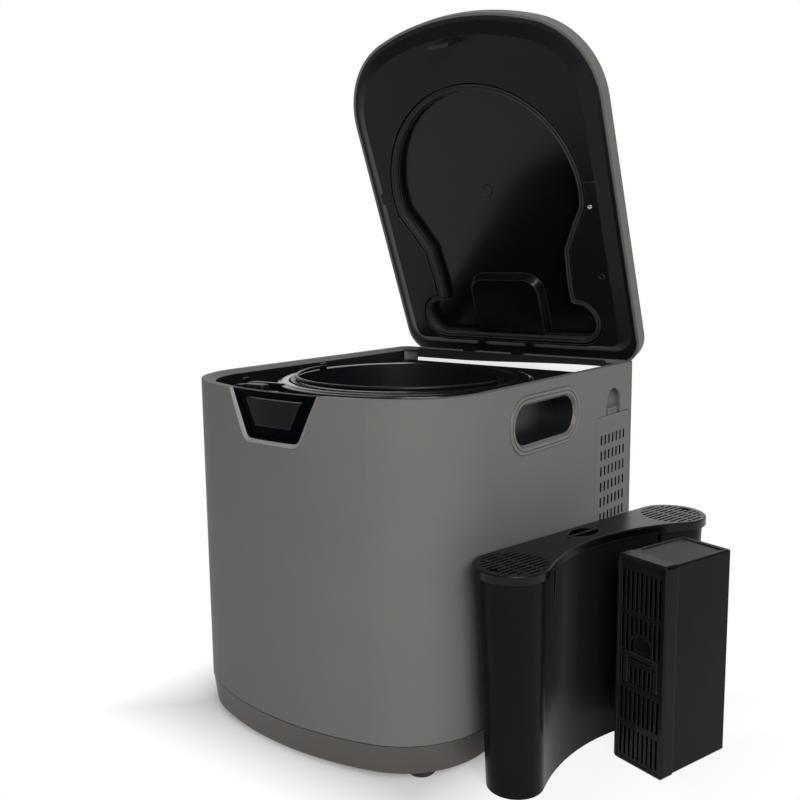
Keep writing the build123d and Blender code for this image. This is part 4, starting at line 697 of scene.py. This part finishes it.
def carbon_pouch():
    """The carbon fill: rounded sections between the saddle's hollow front and straight back.

    Along x the back is a line with round ends and the front an arc with round ends, pushed in
    by notch exp(-((|x| - notch_x) / notch)^4) at the canister's two notches. Each section is
    a superellipse in y and z between them.
    """
    rows, cols = 121, 64
    half, lobe, hollow = 94.0, 19.2, 179.8
    centres = 170.0 + 29.0  # from the hollow's centre to a lobe's
    notch_x, notch = 65.3, 6.5
    yc = -np.sqrt(centres**2 - half**2)
    turn_x = hollow * half / centres
    x = (half + lobe) * np.sin(np.linspace(-pi / 2, pi / 2, rows))
    past = np.clip(np.abs(x) - half, 0.0, lobe)
    round_end = np.sqrt(np.maximum(lobe**2 - past**2, 0.0))
    back = np.where(np.abs(x) > half, round_end, lobe)
    lobe_front = -np.sqrt(np.maximum(lobe**2 - (np.abs(x) - half) ** 2, 0.0))
    arc_front = yc + np.sqrt(np.maximum(hollow**2 - x**2, 0.0))
    front = np.where(np.abs(x) < turn_x, arc_front, lobe_front)
    front = front + notch * np.exp(-(((np.abs(x) - notch_x) / notch) ** 4))
    front = np.minimum(front, back)
    v = np.linspace(0.0, 2.0 * pi, cols, endpoint=False)
    cy = np.sign(np.cos(v)) * np.abs(np.cos(v)) ** 0.55
    cz = np.sign(np.sin(v)) * np.abs(np.sin(v)) ** 0.22
    local = np.empty((rows, cols, 3))
    local[..., 0] = x[:, None]
    local[..., 1] = ((back + front) / 2.0)[:, None] + ((back - front) / 2.0)[:, None] * cy[None]
    crown = 74.0 - 4.0 * (np.abs(x) / (half + lobe)) ** 4
    local[..., 2] = 2.0 + crown[:, None] * (1.0 + cz[None])
    points = set_down(local, (SADDLE_X, SADDLE_Y, 0.0), SADDLE_TURN)
    piece = surface("carbon_pouch", points, "pressed_fleece", "saddle_filter",
                    wrap=(False, True), sharp=60.0)
    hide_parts("saddle_pouch")


def ring_collar():
    """The broad black collar on the deck: a rounded profile spun about the bucket's axis."""
    profile = [(104.4, 286.6), (104.4, 287.5), (104.8, 287.9), (105.6, 288.1), (109.6, 288.1),
               (110.6, 287.8), (111.4, 287.1), (112.2, 286.7), (113.6, 286.5), (114.2, 286.2),
               (114.4, 285.6), (114.4, 284.6), (113.4, 284.6), (113.2, 285.6), (111.0, 286.2),
               (109.8, 287.05), (106.0, 287.05), (105.2, 286.6)]
    centre = (0.0, BUCKET_Y, DECK_Z)
    ring = turned([(r, z - DECK_Z) for r, z in profile], centre, (0, 0, 1), 160)
    surface("bucket_collar", ring, "collar_black", "cabinet", wrap=(True, True))


def bay_lip():
    """The pale lip on the filter bay's back wall: a strip with its right end turned in.

    In plan y falls from the wall by 3 (|x| / end)^24. The top climbs by a smooth step,
    3 rise^2 - 2 rise^3, and each profile point stands at its own share of the height.
    """
    count, end, half_wall, foot = 118, 124.0, 0.9, DECK_Z - 1.0
    x = np.linspace(-110.0, end, count)
    y = 159.4 - 3.0 * (np.abs(x) / end) ** 24
    path = np.stack([x, y, np.zeros(count)], axis=1)
    share = np.array([0.0, 0.93, 1.0, 1.0, 0.93, 0.0])
    face = half_wall - 0.4
    across = np.array([-half_wall, -half_wall, -face, face, half_wall, half_wall])
    points = swept(path, np.stack([across, np.zeros(6)], axis=1), closed=False)
    rise = np.clip((x + 60.0) / 160.0, 0.0, 1.0)
    top = 284.4 + 3.8 * rise * rise * (3.0 - 2.0 * rise)
    points[..., 2] = foot + (top - foot)[:, None] * share[None]
    surface("bay_lip", points, "bay_white", "cabinet", wrap=(False, True))


def rim_path(inset, side):
    """One half of the cabinet's plan at an inset, from beside the panel round to the hinge strip.

    It runs along the front crown, the corner's arc and the straight side; the right half runs
    the other way, so that outward in swept() points to the cabinet's middle on both.
    """
    crown, corner = CROWN_R - inset, CORNER_R - inset
    panel_side = 55.0
    start = -90.0 - np.degrees(np.arcsin(panel_side / crown))
    along = np.linspace(-80.0, 157.0, 30)
    left = np.vstack([arc(0.0, CROWN_Y, crown, start, CORNER_TURN, 8)[:-1],
                      arc(-CORNER_X, CORNER_Y, corner, CORNER_TURN, -180.0, 48),
                      np.stack([np.full(30, -HALF + inset), along], axis=1)])
    return left if side < 0 else left[::-1] * (-1.0, 1.0)


def rim_trims():
    """Inside the rim on both sides: a sloped grey band and the black wall that it ends on.

    Both are profiles of (inward, height) pairs carried along the rim's inner path.
    """
    band = [(0.05, RIM_Z - 0.1), (5.0, RIM_Z - 2.8), (5.0, RIM_Z - 3.4), (0.05, RIM_Z - 0.9)]
    wall = [(4.3, DECK_Z + 0.1), (4.3, RIM_Z - 3.2), (4.9, RIM_Z - 3.2), (4.9, DECK_Z + 0.1)]
    for side, word in ((-1, "left"), (1, "right")):
        path = at_height(rim_path(7.0, side), 0.0)
        surface("rim_band_" + word, swept(path, band, closed=False), "body_paint", "cabinet",
                wrap=(False, True))
        surface("rim_wall_" + word, swept(path, wall, closed=False), "satin_black", "cabinet",
                wrap=(False, True))


def panel_edge():
    """The bevelled edge of the panel's cut-out, from the painted face down to the panel, in a grey
    lighter than the cabinet's paint as a painted highlight.

    The path is the trapezoid's two slanted sides and foot with round corners; y follows the
    front crown, CROWN_Y - (CROWN_R^2 - x^2)^(1/2), plus each profile point's own depth.
    """
    count = 120
    low, high = np.array(PANEL_FOOT), np.array(PANEL_HEAD)
    slope = (high - low) / np.linalg.norm(high - low)
    half_angle = (pi - np.arccos(-slope[0])) / 2.0
    turn = np.array([low[0] - PANEL_ROUND * np.tan(half_angle), low[1] + PANEL_ROUND])
    lean = np.degrees(np.arctan2(slope[1], slope[0]))
    corner = arc(turn[0], turn[1], PANEL_ROUND, -90.0, lean - 90.0, 14)
    right = np.vstack([corner, high - (0.0, 0.1)])
    ahead = np.vstack([right[::-1] * (-1.0, 1.0), right])
    length = np.concatenate([[0.0], np.cumsum(np.linalg.norm(np.diff(ahead, axis=0), axis=1))])
    want = np.linspace(0.0, length[-1], count)
    path = np.stack([np.interp(want, length, ahead[:, k]) for k in (0, 1)], axis=1)
    along = np.gradient(path, axis=0)
    along /= np.linalg.norm(along, axis=1)[:, None]
    inward = np.stack([-along[:, 1], along[:, 0]], axis=1)
    profile = np.array([(0.05, 0.02), (3.0, 1.95), (3.0, 2.15), (0.05, 2.15)])
    flat = path[:, None] + profile[None, :, 0:1] * inward[:, None]
    points = np.empty((count, 4, 3))
    points[..., 0] = flat[..., 0]
    points[..., 1] = CROWN_Y - np.sqrt(CROWN_R**2 - flat[..., 0] ** 2) + profile[None, :, 1]
    points[..., 2] = np.minimum(flat[..., 1], RIM_Z - 0.1)
    surface("panel_edge", points, "bevel_grey_painted_highlight", "cabinet", wrap=(False, True))


def lid_buttons():
    """Small moulded marks on the lid's lining, each a profile spun about its own axis."""
    boss = [(0.0, 0.35), (1.1, 0.33), (1.5, 0.15), (1.6, -0.4), (0.0, -0.4)]
    screw = [(0.0, 0.15), (0.5, 0.15), (0.8, 0.55), (1.6, 0.75), (2.2, 0.45), (2.4, -0.3),
             (0.0, -0.3)]
    vent = [(0.0, 0.05), (1.7, 0.05), (1.9, 0.55), (2.6, 0.75), (3.2, 0.45), (3.3, -0.4),
            (0.0, -0.4)]
    spots = [("boss_a", -45.8, -142.8, boss, "liner_black"),
             ("boss_b", 41.6, -141.3, boss, "liner_black"),
             ("boss_c", 117.0, -69.8, boss, "liner_black"),
             ("boss_d", -25.7, 147.2, boss, "liner_black"),
             ("screw_a", 114.0, 9.4, screw, "steel"),
             ("vent_a", 114.6, 78.1, vent, "satin_black")]
    for name, x, y, profile, kind in spots:
        points = turned(profile, (x, y, LINER_Z), (0, 0, -1), 32)
        surface("lid_" + name, opened(points), kind, "lid", wrap=(False, True))


def rounded_block(size, power=6.0, rows=24, cols=48):
    """A superellipsoid of one power: cosine and sine raised to 2 / power on each axis."""
    v = np.linspace(-pi / 2, pi / 2, rows)
    u = np.linspace(0.0, 2.0 * pi, cols, endpoint=False)

    def flat(value):
        return np.sign(value) * np.abs(value) ** (2.0 / power)

    points = np.empty((rows, cols, 3))
    points[..., 0] = size[0] / 2 * flat(np.cos(v))[:, None] * flat(np.cos(u))[None]
    points[..., 1] = size[1] / 2 * flat(np.cos(v))[:, None] * flat(np.sin(u))[None]
    points[..., 2] = size[2] / 2 * flat(np.sin(v))[:, None] * np.ones(cols)[None]
    return points


def set_down(points, place, turn):
    """Turns a form about its upright middle line and moves it to its place."""
    a = radians(turn)
    moved = points.copy()
    moved[..., 0] = place[0] + points[..., 0] * cos(a) - points[..., 1] * sin(a)
    moved[..., 1] = place[1] + points[..., 0] * sin(a) + points[..., 1] * cos(a)
    moved[..., 2] = place[2] + points[..., 2]
    return moved


def deck_fittings():
    """The catch housing, its ridge to the collar and the small hook in the deck's left corner."""
    parts = [("catch_housing", (24.0, 11.0, 7.8), (-80.0, -112.0, 284.0), 6.0, "satin_black"),
             ("catch_ridge", (50.0, 3.6, 7.2), (-74.0, -100.0, 284.4), 8.0, "collar_black"),
             ("catch_step", (16.0, 9.0, 5.6), (-99.0, -107.0, 282.7), 6.0, "satin_black"),
             ("catch_hook", (2.6, 8.0, 8.4), (-117.0, -89.0, 284.0), 5.0, "collar_black")]
    for name, size, place, turn, kind in parts:
        points = set_down(rounded_block(size), place, turn)
        surface(name, points, kind, "cabinet", wrap=(False, True), sharp=40.0)


seal_ring()
foam_pad()
carbon_pouch()
ring_collar()
bay_lip()
rim_trims()
panel_edge()
lid_buttons()
deck_fittings()


# Stage


def studio():
    """Pale floor that fades to a white surround, seen as white by camera, gloss and glass.

    The glow grows from its least value over each footprint to full strength 45 mm outside it,
    so that the object keeps its shadow.
    """
    size, steps, below_feet = 6.0, 48, 0.0002
    grid = np.linspace(-size, size, steps)
    gx, gy = np.meshgrid(grid, grid, indexing="ij")
    points = np.stack([gx.ravel(), gy.ravel(), np.full(gx.size, -below_feet)], axis=1)
    index = np.arange(steps * steps).reshape(steps, steps)
    quads = np.stack([index[:-1, :-1], index[1:, :-1], index[1:, 1:], index[:-1, 1:]], axis=-1)
    mesh = bpy.data.meshes.new("floor")
    mesh.from_pydata(points.tolist(), [], quads.reshape(-1, 4).tolist())
    floor = bpy.data.objects.new("floor", mesh)
    bpy.context.scene.collection.objects.link(floor)
    made = bpy.data.materials.new("pale_floor")
    made.use_nodes = True
    tree = made.node_tree
    tree.nodes.clear()
    out = tree.nodes.new("ShaderNodeOutputMaterial")
    diffuse = tree.nodes.new("ShaderNodeBsdfDiffuse")
    diffuse.inputs["Color"].default_value = (0.94, 0.94, 0.94, 1.0)
    glow = tree.nodes.new("ShaderNodeEmission")
    glow.inputs["Color"].default_value = (1.0, 1.0, 1.0, 1.0)
    mix = tree.nodes.new("ShaderNodeMixShader")
    place = object_axes(tree)
    fade = None
    for name, least in (("base_tray", 0.20), ("saddle_canister", 0.86), ("box_case", 0.86)):
        low, high = (np.array(corner, float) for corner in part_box(name))
        reach = []
        for axis in (0, 1):
            off = math_node(tree, "SUBTRACT", place[axis], float(low[axis] + high[axis]) / 2.0)
            off = math_node(tree, "ABSOLUTE", off)
            reach.append(math_node(tree, "SUBTRACT", off, float(high[axis] - low[axis]) / 2.0))
        gap = math_node(tree, "MAXIMUM", *reach)
        glowing = spread(tree, gap, -0.02, 0.045, least, 1.0)
        fade = glowing if fade is None else math_node(tree, "MINIMUM", fade, glowing)
    path = tree.nodes.new("ShaderNodeLightPath")
    seen = math_node(tree, "ADD", path.outputs["Is Camera Ray"], path.outputs["Is Glossy Ray"])
    seen = math_node(tree, "ADD", seen, path.outputs["Is Transmission Ray"], clamp=True)
    fade = math_node(tree, "MULTIPLY", fade, seen)
    tree.links.new(fade, mix.inputs[0])
    tree.links.new(diffuse.outputs[0], mix.inputs[1])
    tree.links.new(glow.outputs[0], mix.inputs[2])
    tree.links.new(mix.outputs[0], out.inputs["Surface"])
    mesh.materials.append(made)


def surround():
    """World: white for the camera, a grey room for light, a white backdrop for gloss.

    The backdrop that gloss sees lies round the level direction in which the camera looks.
    """
    world = bpy.data.worlds.new("room")
    bpy.context.scene.world = world
    world.use_nodes = True
    tree = world.node_tree
    tree.nodes.clear()
    out = tree.nodes.new("ShaderNodeOutputWorld")
    seen = tree.nodes.new("ShaderNodeBackground")
    seen.inputs["Color"].default_value = (1.0, 1.0, 1.0, 1.0)
    light = tree.nodes.new("ShaderNodeBackground")
    light.inputs["Strength"].default_value = 0.42
    where = node(tree, "ShaderNodeTexCoord")
    parts = node(tree, "ShaderNodeSeparateXYZ")
    tree.links.new(where.outputs["Generated"], parts.inputs["Vector"])
    height = spread(tree, parts.outputs["Z"], -0.1, 0.9, 0.0, 1.0)
    tone = mix_colour(tree, height, (0.55, 0.55, 0.56), (0.80, 0.80, 0.80))
    right = spread(tree, parts.outputs["X"], -0.9, 0.3, 0.0, 1.0)
    tone = mix_colour(tree, right, (0.16, 0.16, 0.17), tone)
    tree.links.new(tone, light.inputs["Color"])
    facing = tree.nodes.new("ShaderNodeVectorMath")
    facing.operation = "DOT_PRODUCT"
    facing.inputs[1].default_value = (-0.617, 0.787, 0.0)
    tree.links.new(where.outputs["Generated"], facing.inputs[0])
    behind = spread(tree, facing.outputs["Value"], 0.3, 0.95, 0.0, 1.0)
    mix = tree.nodes.new("ShaderNodeMixShader")
    path = tree.nodes.new("ShaderNodeLightPath")
    gloss = math_node(tree, "ADD", path.outputs["Is Glossy Ray"],
                      path.outputs["Is Transmission Ray"], clamp=True)
    gloss = math_node(tree, "MULTIPLY", gloss, behind)
    white = math_node(tree, "ADD", path.outputs["Is Camera Ray"], gloss, clamp=True)
    tree.links.new(white, mix.inputs[0])
    tree.links.new(light.outputs[0], mix.inputs[1])
    tree.links.new(seen.outputs[0], mix.inputs[2])
    tree.links.new(mix.outputs[0], out.inputs["Surface"])


def soft_box(name, place, aim, wide, tall, power):
    """An area lamp that faces a point."""
    data = bpy.data.lights.new(name, "AREA")
    data.shape = "RECTANGLE"
    data.size = wide
    data.size_y = tall
    data.energy = power
    lamp = bpy.data.objects.new(name, data)
    bpy.context.scene.collection.objects.link(lamp)
    back = np.array(place, float) - np.array(aim, float)
    back /= np.linalg.norm(back)
    right = np.cross([0.0, 0.0, 1.0], back)
    right /= np.linalg.norm(right)
    up = np.cross(back, right)
    rows = [[right[i], up[i], back[i], place[i]] for i in range(3)]
    lamp.matrix_world = Matrix(rows + [[0, 0, 0, 1]])


def set_camera():
    """The photograph's viewpoint: yaw, pitch down and a slight roll, with a small shift."""
    yaw, pitch, roll = radians(38.1), radians(8.2), radians(-0.6)
    flat = np.array([-sin(yaw), cos(yaw), 0.0])
    right = np.array([cos(yaw), sin(yaw), 0.0])
    ahead = flat * cos(pitch) + np.array([0.0, 0.0, -1.0]) * sin(pitch)
    up = np.cross(right, ahead)
    tilted_right = right * cos(roll) + up * sin(roll)
    tilted_up = -right * sin(roll) + up * cos(roll)
    place = (np.array([520.3, -665.3, 396.7]) + OFFSET) / 1000.0
    data = bpy.data.cameras.new("photo_camera")
    data.lens = 42.38
    data.sensor_width = 36.0
    data.shift_x = -0.0091
    data.shift_y = -0.0122
    data.clip_start = 0.01
    camera = bpy.data.objects.new("photo_camera", data)
    bpy.context.scene.collection.objects.link(camera)
    rows = [[tilted_right[i], tilted_up[i], -ahead[i], place[i]] for i in range(3)]
    camera.matrix_world = Matrix(rows + [[0, 0, 0, 1]])
    bpy.context.scene.camera = camera


studio()
surround()
set_camera()
soft_box("key", (1.72, -1.5, 1.5), (-0.05, 0.0, 0.2), 1.4, 1.6, 46.0)
soft_box("fill", (-1.7, -1.5, 0.9), (-0.05, 0.0, 0.2), 1.2, 1.6, 0.5)
soft_box("top", (0.0, 0.4, 2.3), (0.0, 0.0, 0.1), 1.8, 1.6, 7.0)
bpy.context.scene.view_settings.view_transform = "Standard"
